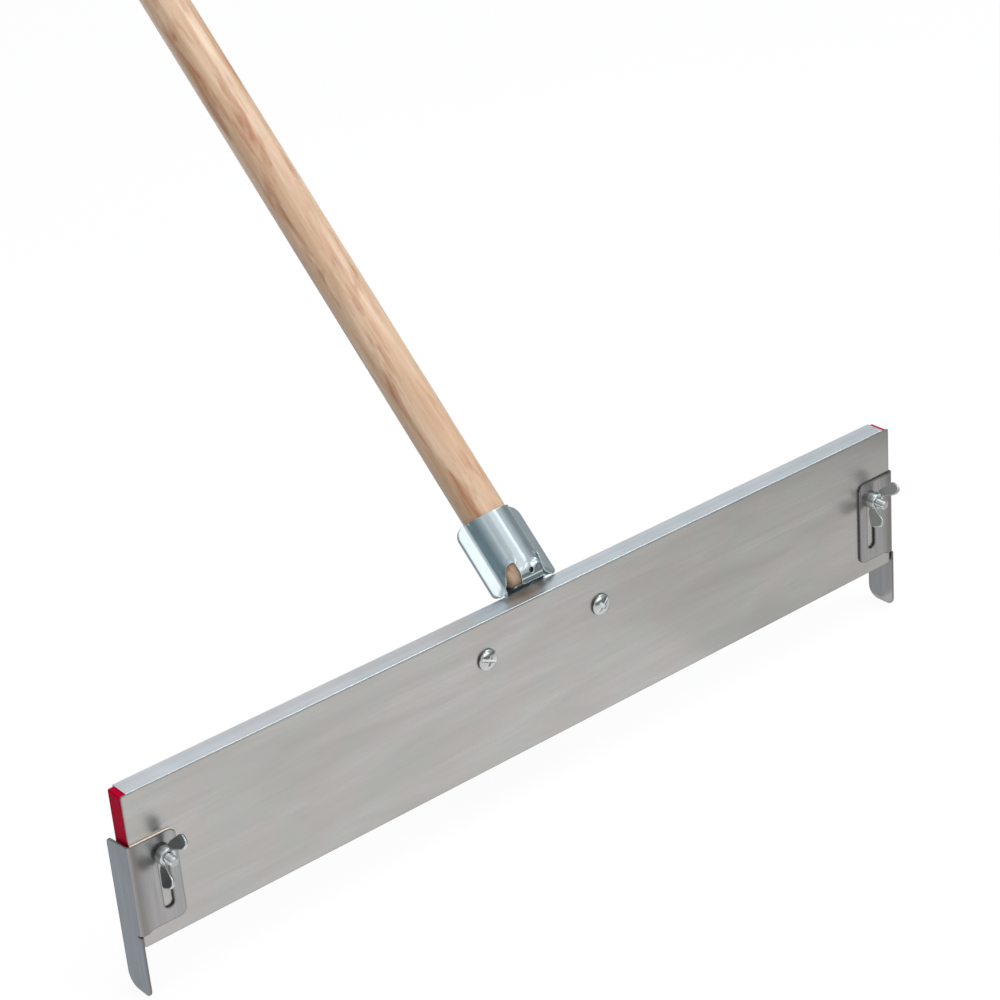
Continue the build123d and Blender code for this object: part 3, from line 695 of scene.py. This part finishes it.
class SPREADER_OT_skids(bpy.types.Operator):
    """Make the two bent skids that slide on the blade's ends"""

    bl_idname = "spreader.skids"
    bl_label = "Skids"

    def execute(self, context):
        sizes = context.scene.spreader_sizes
        inner, front, foot = [c / MM for c in SKID_LOW]
        outer, rear, top = [c / MM for c in SKID_HIGH]
        # The blank runs across the front, round the bend and back along the blade's end, where its leg goes down.
        bend = 2.5
        bend_start = outer - bend - inner
        bend_end = bend_start + bend * math.pi / 2
        back = bend_end + rear - front - bend
        leg, leg_top = bend_end - bend, 8.05
        lap = bend_end + 1.0
        rim = rounded_outline([
            (0, 9.8, 5), (23.2, 9.8, 1.0), (26.0, 8.3, 1.0), (lap, 8.3, 0.2), (lap, 7.8, 0.2), (leg, 7.8, 0.5),
            (leg, foot, 5), (back, foot, 8.5), (back, 65.7, 4), (lap, top, 20), (0, top, 5)])
        slot_at, slot_half, slot_low, slot_high = BOLT_SPOT[0] - inner, 3.25, 19, 59.4
        slot = rounded_outline([(slot_at + side * slot_half, z, 3.24) for side, z in (
            (-1, slot_low), (-1, slot_high), (1, slot_high), (1, slot_low))])

        for side, name in SIDES:
            def place(across, along, depth):
                if across >= bend_end or along < leg_top:
                    x, y = outer - depth, front + bend + across - bend_end
                elif across <= bend_start:
                    x, y = inner + across, front + depth
                else:
                    turn = (across - bend_start) / bend
                    x = outer - bend + (bend - depth) * math.sin(turn)
                    y = front + bend - (bend - depth) * math.cos(turn)
                return Vector((side * x * MM, y * MM, along * MM))

            def cut(across, along):
                # Painted shade: the edges round the slot are darkened beyond their tan, as the slot's wall lies in
                # shade.
                if abs(across - slot_at) < 5 and slot_low - 2 < along < slot_high + 1.6:
                    return 1.0
                # Painted highlight: 2.0 turns the left skid's top edge pale cream; 0.7 is the plain tan of a cut
                # edge.
                return 2.0 if side < 0 and along > top - 3 and across < bend_start else 0.7

            # Painted shade: how far the sheet is darkened and browned beside and over its bend.
            def wear(across, along):
                if along < leg_top:
                    return 0.0
                if across < bend_start:
                    return 0.75 * math.exp(-((bend_start - across) / 5.5) ** 2)
                return 0.75 * max(0.0, 1 - (across - bend_start) / 3.0)

            across_lines = steps(2, bend_start, 14) + steps(bend_start, bend_end, 10)[1:]
            mesh = pressed_sheet(
                [rim, slot], sizes.skid_sheet / MM, 1.4 * sizes.sheet_edge / MM,
                across_lines + steps(bend_end, back, 5)[1:-1], steps(foot, top, 24)[1:-1], place, cut, wear)
            fitted(built(mesh, "skid_sheet_" + name), "satin_skid_steel", name + "_skid",
                   "skid_" + name)
        return {"FINISHED"}


class SPREADER_OT_skid_fasteners(bpy.types.Operator):
    """Make the bolts, washers and cast wing nuts that clamp the skids"""

    bl_idname = "spreader.skid_fasteners"
    bl_label = "Skid fasteners"

    def execute(self, context):
        sizes = context.scene.spreader_sizes
        for side, name in SIDES:
            x, z = [(low + high) / 2 for low, high in zip(BOLT_LOW, BOLT_HIGH)][::2]
            axis = Vector((side * x, 0.0, z))
            self.bolt(name, axis)

            ring = washer("skid_washer_ring_" + name, "skid_washer_" + name, axis, -1)
            # Painted shadow: the washers are darkened, the left one fully, as the gap under the wing nut lies in
            # shade.
            marked(ring, "rim_soil", lambda spot: 1.0 if side < 0 else 0.4)
            fitted(ring, "fastener_zinc", name + "_washer", "skid_washer_" + name)

            turn = sizes.left_wing_turn if side < 0 else sizes.right_wing_turn
            nut = self.cast_nut(name, axis, turn, sizes.wing_thickness / MM)
            across = Vector((-math.sin(turn), 0.0, math.cos(turn)))
            # Painted shade: the wings' flat faces are darkened, the left nut's much more than the right's, and so is
            # each nut's foot against its skid.
            dull, boss = 0.5 if side < 0 else 0.05, 6.3 * MM

            def tarnish(spot):
                on_wing = math.hypot(spot.x - axis.x, spot.z - axis.z) > boss
                face = max(0.0, min(1.0, abs((spot - axis).dot(across)) / (0.25 * MM) - 3.4)) if on_wing else 0.0
                foot = max(0.0, 1 - (NUT_FOOT - spot.y) / (3 * MM))
                return max(dull * face, (dull + 0.1) * foot)

            marked(nut, "rim_soil", tarnish)
            fitted(nut, "cast_zinc", name + "_wing_nut", "wing_nut_" + name, 80)
        return {"FINISHED"}

    def bolt(self, name, axis):
        """A cup-head bolt from the blade's back: a thread, a square neck and a domed head."""
        tip, foot, seat = BOLT_LOW[1], 4.5 * MM, BEAM_BACK * MM
        thread = shank(axis, foot, -1, foot - tip, 0.8 * MM)

        rim, wall = 8.25, 0.8
        rise = (BOLT_HIGH[1] - seat) / MM - wall
        dome = (rim ** 2 + rise ** 2) / (2 * rise)
        cup = [(0, 0), (rim - 0.2, 0), (rim, 0.2), (rim, wall)]
        for k in range(1, 13):
            r = rim * (1 - k / 12)
            cup.append((r, wall + math.sqrt(dome * dome - r * r) - dome + rise))
        head = turned_ring(cup, 56, lambda a, b, h: Vector((axis.x + a * MM, seat + h * MM, axis.z + b * MM)))

        neck = bmesh.new()
        bmesh.ops.create_cube(neck, size=1.0)
        bmesh.ops.bevel(neck, geom=neck.edges[:], offset=0.06, segments=2, affect="EDGES")
        wide, deep = 6.5 * MM, 3.5 * MM
        for v in neck.verts:
            v.co = Vector((axis.x + v.co.x * wide, seat + (v.co.y - 0.5) * deep, axis.z + v.co.z * wide))

        # Painted shade: the thread's grooves and the bolt's tip are darkened.
        def grime(spot):
            reach = math.hypot(spot.x - axis.x, spot.z - axis.z)
            groove = reach < 2.8 * MM and tip + 1.0 * MM < spot.y < 0
            return 0.5 if groove else 0.45 if spot.y < tip + 0.1 * MM else 0.0

        bolt = joined("skid_bolt_shape_" + name, [thread, built(head, "head"), built(neck, "neck")])
        marked(bolt, "rim_soil", grime)
        fitted(bolt, "fastener_zinc", "blade", "skid_bolt_" + name, 32)

    def cast_nut(self, name, axis, turn, thick):
        """A wing nut: a round boss and two paddle wings, run together as a casting does."""
        boss = turned_ring(
            [(3.06, 0.35), (3.4, 0), (5.7, 0), (6.0, 0.3), (5.7, 2.6), (5.25, 4.4), (4.6, 5), (3.4, 5), (3.06, 4.65)],
            96, lambda a, b, h: Vector((a, b, h)) * MM)
        parts = [built(boss, "boss")]
        wing = rounded_outline([
            (3.6, 1.2, 0), (8.6, 1.9, 5), (16.9, 9.2, 3.2), (13.6, 16.9, 2.8), (9.2, 15.4, 3.4), (5.2, 6.9, 5),
            (3.6, 5, 0)])
        for way in (1, -1):
            blade = pressed_sheet(
                [wing], thick, 0.6, steps(4, 16, 12), steps(2, 16, 14),
                lambda a, h, d: Vector((way * a, d - thick / 2, h)) * MM)
            parts.append(built(blade, "wing"))
        nut = joined("wing_nut_cast_" + name, parts)
        cast = nut.modifiers.new("one_casting", "REMESH")
        cast.mode = "VOXEL"
        cast.voxel_size = 0.2 * MM
        smooth = nut.modifiers.new("cast_rounds", "SMOOTH")
        smooth.factor = 0.5
        smooth.iterations = 10
        settled(nut)
        axes = Matrix(((math.cos(turn), -math.sin(turn), 0), (0, 0, -1), (math.sin(turn), math.cos(turn), 0)))
        nut.data.transform(Matrix.Translation((axis.x, NUT_FOOT, axis.z)) @ axes.to_4x4())
        return nut


class SPREADER_OT_socket(bpy.types.Operator):
    """Make the pressed front half of the handle socket, and break the edges of its base"""

    bl_idname = "spreader.socket"
    bl_label = "Handle socket"

    # In millimetres: the shell's radius, the radius of its folds, the width of its flanges, how far the left and
    # the right one are swept back, its length, and the outline of a notch.
    radius = 15.4
    fold = 2.5
    flange = 6.28
    sweep_back = (0.85, 1.5)
    top = 53
    notch = ((9.0, 16.8), (14.4, 16.8), (21.7, 8.5), (26.6, 3.0))

    def section(self, across):
        """Point (sideways, outward) and normal of the shell's outer face, at a distance round it from the crown."""
        side, across = math.copysign(1, across), abs(across)
        reach = self.radius + self.fold
        turn = math.acos(self.fold / reach)
        if across <= self.radius * turn:
            lean = across / self.radius
            x, w = self.radius * math.sin(lean), self.radius * math.cos(lean)
        elif across <= reach * turn:
            lean = turn - (across - self.radius * turn) / self.fold
            x = reach * math.sin(turn) - self.fold * math.sin(lean)
            w = self.fold - self.fold * math.cos(lean)
        else:
            lean, beyond = 0.0, across - reach * turn
            x, w = reach * math.sin(turn) + beyond, -self.sweep_back[side > 0] * beyond / self.flange
        return side * x, w, side * math.sin(lean), math.cos(lean)

    def rim_lift(self, across, along):
        """How far the press has flared the sheet out near the rim of the two notches."""
        spot = Vector((abs(across), along))
        near = 99.0
        for a, b in zip(self.notch, self.notch[1:]):
            a, b = Vector(a), Vector(b)
            t = max(0.0, min(1.0, (spot - a).dot(b - a) / (b - a).length_squared))
            near = min(near, (spot - a - (b - a) * t).length)
        return 0.95 * math.exp(-(near / 1.7) ** 2)

    def place(self, across, along, depth):
        """A spot of the shell's blank on the bent shell: half round, with flanges swept back a little, and a tongue
        that is flattened, swollen beside its nail hole, curled in and creased to a lip under the handle's end."""
        x, w, nx, nw = self.section(across)
        lean, tongue = 0.0, 11.0
        if abs(across) < tongue:
            flat = max(0.0, min(1.0, (16.0 - along) / 8.0)) * max(0.0, min(1.0, (tongue - abs(across)) / 1.6))
            flat = flat * flat * (3 - 2 * flat)
            w += (15.25 - w) * flat
            x += (across * 0.94 - x) * flat
            nx, nw = nx * (1 - flat), nw + (1 - nw) * flat
            w += 1.15 * math.exp(-((across - 5.9) ** 2 + (along - 11.0) ** 2) / 8.0)
            curl_start, curl_length, curl_radius = 17.4, 13.2, 18.8
            curl = curl_start - along
            if curl > 0:
                lean = min(curl, curl_length) / curl_radius
                along = curl_start - curl_radius * math.sin(lean)
                w -= curl_radius * (1 - math.cos(lean))
                crease = min(max(0.0, curl - curl_length), 0.5)
                lip = max(0.0, curl - curl_length - crease)
                for run, turn in ((crease, 0.95), (lip, 0.64)):
                    along -= run * math.cos(turn)
                    w -= run * math.sin(turn)
        w += self.rim_lift(across, along) if abs(across) > 7.0 else 0.0
        w -= depth * nw * math.cos(lean)
        along += depth * nw * math.sin(lean)
        x -= depth * nx
        return SOCKET_POINT + Vector((x * MM, 0, 0)) + ALONG * (along * MM) + OUTWARD * (w * MM)

    def swept_base(self):
        """The socket's base as its solid has it, with its sharp edges broken and its flanges swept back as well."""
        mesh = bmesh.new()
        mesh.from_mesh(frame["nodes"]["bracket_base"].data)
        bmesh.ops.remove_doubles(mesh, verts=mesh.verts, dist=0.002 * MM)
        bmesh.ops.dissolve_limit(mesh, angle_limit=math.radians(0.6), verts=mesh.verts, edges=mesh.edges)
        base = built(mesh, "socket_base")
        edges = base.modifiers.new("broken_edges", "BEVEL")
        edges.width = 0.25 * MM
        edges.segments = 2
        edges.limit_method = "ANGLE"
        edges.angle_limit = math.radians(35)
        settled(base)

        root = math.sqrt((self.radius + self.fold) ** 2 - self.fold ** 2)
        mesh = bmesh.new()
        mesh.from_mesh(base.data)
        for x in (-root, root):
            whole = mesh.verts[:] + mesh.edges[:] + mesh.faces[:]
            bmesh.ops.bisect_plane(mesh, geom=whole, dist=MM / 1000, plane_co=(x * MM, 0, 0), plane_no=(1, 0, 0))
        for spot in mesh.verts:
            out = (spot.co - SOCKET_POINT).dot(OUTWARD) / MM
            beyond = abs(spot.co.x) / MM - root
            if beyond > 0 and -2.5 < out < -1.1:
                spot.co -= OUTWARD * (self.sweep_back[spot.co.x > 0] * beyond / self.flange * MM)
        mesh.to_mesh(base.data)
        mesh.free()
        return base

    def execute(self, context):
        sizes = context.scene.spreader_sizes
        wide = (self.radius + self.fold) * math.acos(self.fold / (self.radius + self.fold)) + self.flange
        top = [(a, self.top - 2.4 * self.section(a)[1] / self.radius, 0) for a in steps(23, -23, 46)]
        tongue = [(8.6, 0.6, 1.4)] + [(*spot, r) for spot, r in zip(self.notch, (2.1, 2.1, 3, 0.8))]
        right = tongue + [(wide, 3.0, 3), (wide, self.top, 8)]
        left = [(-wide, self.top, 8), (-wide, 6.4, 0.5), (3.2 - wide, 3.0, 0.5)]
        left += [(-a, s, r) for a, s, r in reversed(tongue)]
        across_lines = steps(-21.5, 21.5, 43)
        across_lines += [side * a for side, _ in SIDES for a in steps(22, 25.6, 9) + [27, 28.5, 30]]
        along_lines = [1.6, 2.6, 3.3, 3.65, 3.75, 4.15, 4.25, 4.6] + steps(5.2, 16, 18) + steps(17, 52, 24)
        mesh = pressed_sheet(
            [rounded_outline(right + top + left), round_hole(0, 7.4, 1.75, 28)],
            sizes.socket_sheet / MM, sizes.sheet_edge / MM, across_lines, along_lines, self.place)
        fitted(built(mesh, "socket_front"), "socket_zinc", "blade", "bracket_front_shell", 60)
        fitted(self.swept_base(), "dull_socket_zinc", "blade", "bracket_base")
        return {"FINISHED"}


class SPREADER_OT_socket_fasteners(bpy.types.Operator):
    """Make the screws, washers and nuts that hold the socket to the blade"""

    bl_idname = "spreader.socket_fasteners"
    bl_label = "Socket fasteners"

    def execute(self, context):
        sizes = context.scene.spreader_sizes
        seat = PLATE_LOW[1]
        for side, name in SIDES:
            x, z = [(low + high) / 2 for low, high in zip(SCREW_LOW, SCREW_HIGH)][::2]
            axis = Vector((side * x, 0.0, z))
            turn = sizes.left_screw_turn if side < 0 else sizes.right_screw_turn
            head = self.recessed_head(Vector((axis.x, seat, axis.z)), turn, (seat - SCREW_LOW[1]) / MM)
            thread = shank(axis, seat - MM, 1, SCREW_HIGH[1] - seat + MM, 0.7 * MM)
            screw = joined("socket_screw_" + name, [thread, head])
            fitted(screw, "fastener_zinc", "blade", "bracket_screw_" + name, 32)

            ring = washer("socket_washer_" + name, "bracket_washer_" + name, axis, 1)
            fitted(ring, "fastener_zinc", "blade", "bracket_washer_" + name)

            nut = self.hex_nut("socket_nut_" + name, "bracket_nut_" + name, axis)
            fitted(nut, "fastener_zinc", "blade", "bracket_nut_" + name, 25)
        return {"FINISHED"}

    def hex_nut(self, name, node, axis):
        """A hexagon nut with its corners turned off, as high as the solid that it stands for."""
        low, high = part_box(node)
        tall, flat = (high[1] - low[1]) / MM, 5.0

        def limited(radius):
            return lambda turn: min(flat / math.cos((turn % math.radians(60)) - math.radians(30)), radius)

        shape = [(3.05, 0.4), (3.4, 0), (4.75, 0), (limited(5.02), 0.15), (limited(5.35), 0.34), (limited(5.8), 0.62)]
        shape += [(r, tall - h) for r, h in reversed(shape)]
        hexagon = turned_ring(shape, 72, lambda a, b, h: Vector((axis.x + a * MM, low[1] + h * MM, axis.z + b * MM)))
        return built(hexagon, name)

    def recessed_head(self, seat, turn, rise):
        """A low round screw head: a short wall, a dome, a slot right across it and a shorter cross slot."""
        radius, brim, wall, floor, bank = 7.0, 6.6, 1.5, rise - 1.25, 0.35
        slot, slot_end, arm, arm_end = 0.75, 6.0, 0.7, 2.9
        dome = (radius ** 2 + (rise - wall) ** 2) / (2 * (rise - wall))

        def crown(reach):
            rounding = 0.5 * max(0.0, (reach - 6.3) / 0.7) ** 3
            return rise - dome + math.sqrt(dome * dome - reach * reach) - rounding

        def recess(grow):
            """Outline of the two slots, each of its sides moved out a little."""
            quarter = [(slot_end + grow, slot + grow), (arm + grow, slot + grow), (arm + grow, arm_end + grow)]
            half = quarter + [(-u, v) for u, v in reversed(quarter)]
            return [Vector(c) for c in half + [(-u, -v) for u, v in half]]

        circles = [round_hole(0, 0, reach, 84) for reach in (1.9, 3.4, 4.6, 5.6, brim)]
        spots, kept = filled([circles[-1][::-1]], [], [], [recess(0.0), recess(bank)] + circles[:-1])
        mesh = bmesh.new()
        # Painted shade: the dome is darkened a little, the recess left bright, and the wall round the head darker,
        # most on its left.
        head_shade_layer = mesh.verts.layers.float.new("rim_soil")

        def spot(u, v, h, dark):
            x, z = u * math.cos(turn) - v * math.sin(turn), u * math.sin(turn) + v * math.cos(turn)
            made = mesh.verts.new(seat + Vector((x, -h, z)) * MM)
            made[head_shade_layer] = dark * (0.62 - 0.38 * x / radius) if dark > 0.3 else dark
            return made

        top, rim = {}, []
        for i in sorted({i for t in kept for i in t}):
            u, v = spots[i]
            high = crown(math.hypot(u, v))
            sunk = high > floor and min(abs(v) - slot, max(abs(u) - arm, abs(v) - arm_end)) < bank / 2
            top[i] = spot(u, v, floor if sunk else high, 0.0 if sunk else 0.26)
            if math.hypot(u, v) > brim - 0.01:
                rim.append(i)
        for t in kept:
            mesh.faces.new([top[i] for i in t])
        rim.sort(key=lambda i: math.atan2(spots[i].y, spots[i].x))
        rings = [[top[i] for i in rim]]
        for reach, high, dark in (
                (6.85, crown(6.85), 0.5), (radius, crown(radius), 1.0), (radius, 0.5, 1.0), (radius, 0.0, 1.0)):
            rings.append([spot(*(spots[i].normalized() * reach), high, dark) for i in rim])
        for low, high in zip(rings, rings[1:]):
            for k in range(len(rim)):
                mesh.faces.new((low[k - 1], low[k], high[k], high[k - 1]))
        mesh.faces.new(reversed(rings[-1]))
        bmesh.ops.recalc_face_normals(mesh, faces=mesh.faces)
        return built(mesh, "screw_head")


class SPREADER_OT_handle(bpy.types.Operator):
    """Make the turned wooden handle"""

    bl_idname = "spreader.handle"
    bl_label = "Handle"

    def execute(self, context):
        radius = context.scene.spreader_sizes.handle_radius / MM
        pushed_in = radius - 0.2
        start, taper_end, socket_end, end, dome = 6.4, 16.5, 53, 1406.3, 10.4
        foot = [(9.4, start), (10.0, 6.8), (11.4, 8.8), (12.6, 11.2), (13.4, 13.6), (pushed_in, taper_end)]
        shape = [(0, start), (6, start)]
        for (r, s), (wider, higher) in zip(foot, foot[1:]):
            shape += [(r + (wider - r) * k / 4, s + (higher - s) * k / 4) for k in range(4)]
        shape += [(pushed_in, s) for s in steps(taper_end, socket_end, 4)] + [(radius, socket_end + 1)]
        shape += [(radius, s) for s in steps(60, end - dome, 60)]
        for turn in steps(0.1, math.pi / 2, 9):
            shape.append((radius - dome + dome * math.cos(turn), end - dome + dome * math.sin(turn)))
        shape.append((0, end))

        def place(a, b, h):
            return SOCKET_POINT + Vector((a * MM, 0.0, 0.0)) + OUTWARD * (b * MM) + ALONG * (h * MM)

        handle = built(turned_ring(shape, 112, place), "turned_handle")
        # Painted shadow: a dark round spot on the handle where the socket's nail hole lies over it.
        hole_shadow, hole_shadow_radius, blur = place(0.6, 11.2, 8.4), 2.8 * MM, 0.7 * MM
        marked(handle, "pilot_hole", lambda spot: max(0.0, min(1.0, (hole_shadow_radius - (spot - hole_shadow).length) / blur)))
        fitted(handle, "lacquered_wood", "blade", "handle", 35)
        return {"FINISHED"}


class SPREADER_OT_stage(bpy.types.Operator):
    """Make the pale floor, the soft studio light and the camera"""

    bl_idname = "spreader.stage"
    bl_label = "Stage"

    ground = CAD_BOX[0][2] - 0.2 * MM

    def execute(self, context):
        scene = context.scene
        scene.view_settings.view_transform = "Standard"
        self.floor()
        scene.world = self.room()

        self.softbox("front_softbox", (-0.15, -0.8, 2.0), 1.8, 1.8, 0.6)
        self.softbox("key_softbox", (0.70, -1.08, 1.9), 0.5, 1.3, 1.5)
        self.softbox("right_softbox", (1.45, -0.5, 1.2), 0.35, 1.2, 1.8)
        self.softbox("low_softbox", (0.22, -1.3, 0.5), 0.9, 0.56, 1.4, mirrored=True)
        self.softbox("overhead_softbox", (0.3, -0.3, 2.6), 2.4, 2.4, 2.3)

        self.standing("left_flag", (-1.4, -0.5), (-1.0, 0.55), 1.05, ("#7F9096", "#CFD6DA"))
        self.standing("far_flag", (-1.0, 0.55), (-0.75, 1.2), 1.15, ("#5C6265", "#C6CBCE"), 0.35)
        self.standing("right_flag", (1.6, -0.7), (1.1, 1.4), 0.6, ("#9AA3A2",))
        self.standing("front_flag", (-0.12, -0.4), (0.2, -0.43), 0.09, ("#737979",))
        self.standing("front_right_flag", (0.2, -0.43), (0.56, -0.14), 0.09, ("#737979",))

        near_floor = self.ground + MM
        # Cards seen only in reflections. skid_floor, back_floor and leg_floor are painted shade: they grey the floor
        # that the metal mirrors beside and behind the blade, where its shadow falls.
        self.lying("skid_floor", (-0.52, -0.006), (-0.302, 0.26), near_floor, "#C7CFD7")
        self.lying("left_floor", (-1.2, -0.1), (-0.52, 0.8), near_floor, "#869499")
        self.lying("back_floor", (-0.3, 0.012), (1.2, 0.8), near_floor, "#B2B7B8")
        self.lying("leg_floor", (0.2, 0.002), (0.3, 0.12), near_floor + MM, "#D0D4D6")
        self.lying("right_floor", (0.17, -0.7), (1.3, -0.02), near_floor, "#EDEDEC")
        self.lying("top_card", (-2.4, 0.1), (0.8, 2.0), 2.5, "#FFFFFF")

        self.hanging("left_card", (-0.77, -0.29, 0.57), (-0.62, -0.385, 0.68), 2.0, 0.9, 0.85)
        self.hanging("front_card", (-0.25, -0.51, 0.82), (0.19, -0.52, 0.835), 2.2, 1.2, 1.1)
        self.hanging("key_card", (0.2, -0.525, 0.832), (0.41, -0.475, 0.78), 2.1, 1.4, 1.65)
        self.hanging("right_card", (0.42, -0.46, 0.78), (0.66, -0.36, 0.65), 2.2, 1.2, 0.75)

        # The handle's lacquer shows this one as a soft pale stripe, from a hand's width above the socket.
        self.card("sheen_card", [(0.262, -0.415, 1.268), (1.019, -0.026, 0.849), (0.958, 0.361, 1.164),
                                 (0.246, -0.005, 1.558)], (3.4, 4.4, 4.7, 1.0))

        lens = bpy.data.cameras.new("photo_camera")
        lens.sensor_width = 36.0
        lens.lens = 99.675
        lens.clip_end = 60.0
        camera = shown(lens, "photo_camera")
        right, up = Vector((0.7667, -0.6374, -0.0755)), Vector((0.3464, 0.3120, 0.8847))
        forward, stand = Vector((0.5404, 0.7045, -0.4601)), Vector((-0.8952, -1.1417, 0.9151))
        camera.matrix_world = Matrix.Translation(stand) @ Matrix((right, up, -forward)).transposed().to_4x4()
        scene.camera = camera
        return {"FINISHED"}

    def floor(self):
        """A pale matt floor, nearly white to the camera and in reflections, that keeps the object's shadow."""
        material = bpy.data.materials.new("pale_floor")
        node = emptied(material)
        matt = node("ShaderNodeBsdfDiffuse", {"Color": linear("#F4F4F3")})
        white = node("ShaderNodeEmission", {"Strength": 1.0})
        ray = node("ShaderNodeLightPath").outputs
        seen = node(MATH, (ray["Is Camera Ray"], ray["Is Glossy Ray"]), operation="MAXIMUM")
        seen = node(MATH, (seen, ray["Is Transmission Ray"]), operation="MAXIMUM")
        part = node(MATH, (seen, 0.9), operation="MULTIPLY")
        node(OUTPUT, {"Surface": node("ShaderNodeMixShader", (part, matt, white))})
        mesh = bmesh.new()
        bmesh.ops.create_circle(mesh, cap_ends=True, radius=40.0, segments=64)
        floor = built(mesh, "floor")
        floor.location.z = self.ground
        floor.data.materials.append(material)

    def room(self):
        """A plain studio, brighter above the front and low behind the right."""
        world = bpy.data.worlds.new("studio")
        node = emptied(world)
        towards = node("ShaderNodeTexCoord").outputs["Generated"]
        ahead = node(VECTOR_MATH, (towards, (0.0, -0.6, 0.8)), operation="DOT_PRODUCT")
        behind = node(VECTOR_MATH, (towards, (0.35, 0.9, 0.25)), operation="DOT_PRODUCT")
        upper = node(RANGE, (ahead, 0.2, 0.9, 0.28, 0.85))
        rear = node(RANGE, (behind, 0.5, 0.93, 0.28, 0.92))
        level = node(MATH, (upper, rear), operation="MAXIMUM")
        light = node("ShaderNodeBackground", {"Color": linear("#F3F6FA"), "Strength": level})
        node("ShaderNodeOutputWorld", {"Surface": light})
        return world

    def softbox(self, name, place, wide, tall, level, mirrored=False):
        """A soft rectangular lamp, aimed at the blade's top, as bright as a white surface times level."""
        lamp = bpy.data.lights.new(name, "AREA")
        lamp.shape = "RECTANGLE"
        lamp.size, lamp.size_y = wide, tall
        lamp.energy = level * math.pi * wide * tall
        holder = shown(lamp, name)
        holder.location = place
        holder.rotation_euler = (Vector((0.0, 0.0, 0.1)) - Vector(place)).to_track_quat("-Z", "Y").to_euler()
        holder.visible_camera = False
        holder.visible_glossy = mirrored

    def card(self, name, corners, low_tone, high_tone=None, start=0.2):
        """A card that only reflections see, so that bright metal has something else than white to show; it can run
        from one tone, up to a height, to another at its upper edge."""
        material = bpy.data.materials.new(name)
        node = emptied(material)
        tone = low_tone
        if high_tone:
            place = node("ShaderNodeTexCoord").outputs["Object"]
            up = node("ShaderNodeSeparateXYZ", (place,)).outputs["Z"]
            share = node(RANGE, (up, start, max(corner[2] for corner in corners)))
            tone = node(MIX, (share, low_tone, high_tone), data_type="RGBA")
        node(OUTPUT, {"Surface": node("ShaderNodeEmission", {"Color": tone})})
        mesh = bmesh.new()
        mesh.faces.new([mesh.verts.new(corner) for corner in corners])
        flag = built(mesh, name)
        flag.data.materials.append(material)
        flag.visible_camera = flag.visible_diffuse = flag.visible_shadow = flag.visible_transmission = False

    def standing(self, name, first, last, top, tones, start=0.2):
        """A card that stands on the floor from one point to another."""
        corners = [first + (self.ground,), last + (self.ground,), last + (top,), first + (top,)]
        self.card(name, corners, *[linear(tone) for tone in tones], start=start)

    def lying(self, name, low, high, height, tone):
        """A level card from one corner to another."""
        corners = [(low[0], low[1]), (high[0], low[1]), (high[0], high[1]), (low[0], high[1])]
        self.card(name, [corner + (height,) for corner in corners], linear(tone))

    def hanging(self, name, first, last, reach, tall, level):
        """A card that hangs at a distance, between two directions as seen from the socket."""
        first, last = Vector(first) * reach, Vector(last) * reach
        up = (first + last).cross(last - first).normalized() * (tall / 2)
        self.card(name, [first - up, last - up, last + up, first + up], (level, level, level, 1.0))


PIECES = (SPREADER_OT_blade, SPREADER_OT_skids, SPREADER_OT_skid_fasteners, SPREADER_OT_socket,
          SPREADER_OT_socket_fasteners, SPREADER_OT_handle, SPREADER_OT_stage)


class SPREADER_PT_sidebar(bpy.types.Panel):
    """Lists the spreader's sizes, colours and pieces"""

    bl_idname = "SPREADER_PT_sidebar"
    bl_label = "Leveling Compound Spreader"
    bl_space_type = "VIEW_3D"
    bl_region_type = "UI"
    bl_category = "Spreader"

    def draw(self, context):
        for group in (context.scene.spreader_sizes, context.scene.spreader_colours):
            box = self.layout.box()
            for name in group.__annotations__:
                box.prop(group, name)
        for piece in PIECES:
            self.layout.operator(piece.bl_idname)


CLASSES = (SpreaderSizes, SpreaderColours) + PIECES + (SPREADER_PT_sidebar,)


def register():
    for made in CLASSES:
        bpy.utils.register_class(made)
    bpy.types.Scene.spreader_sizes = bpy.props.PointerProperty(type=SpreaderSizes)
    bpy.types.Scene.spreader_colours = bpy.props.PointerProperty(type=SpreaderColours)


def unregister():
    del bpy.types.Scene.spreader_colours
    del bpy.types.Scene.spreader_sizes
    for made in reversed(CLASSES):
        bpy.utils.unregister_class(made)


def main():
    """Makes every piece and the stage."""
    register()
    bpy.ops.spreader.blade()
    bpy.ops.spreader.skids()
    bpy.ops.spreader.skid_fasteners()
    bpy.ops.spreader.socket()
    bpy.ops.spreader.socket_fasteners()
    bpy.ops.spreader.handle()
    bpy.ops.spreader.stage()


if __name__ == "__main__":
    main()
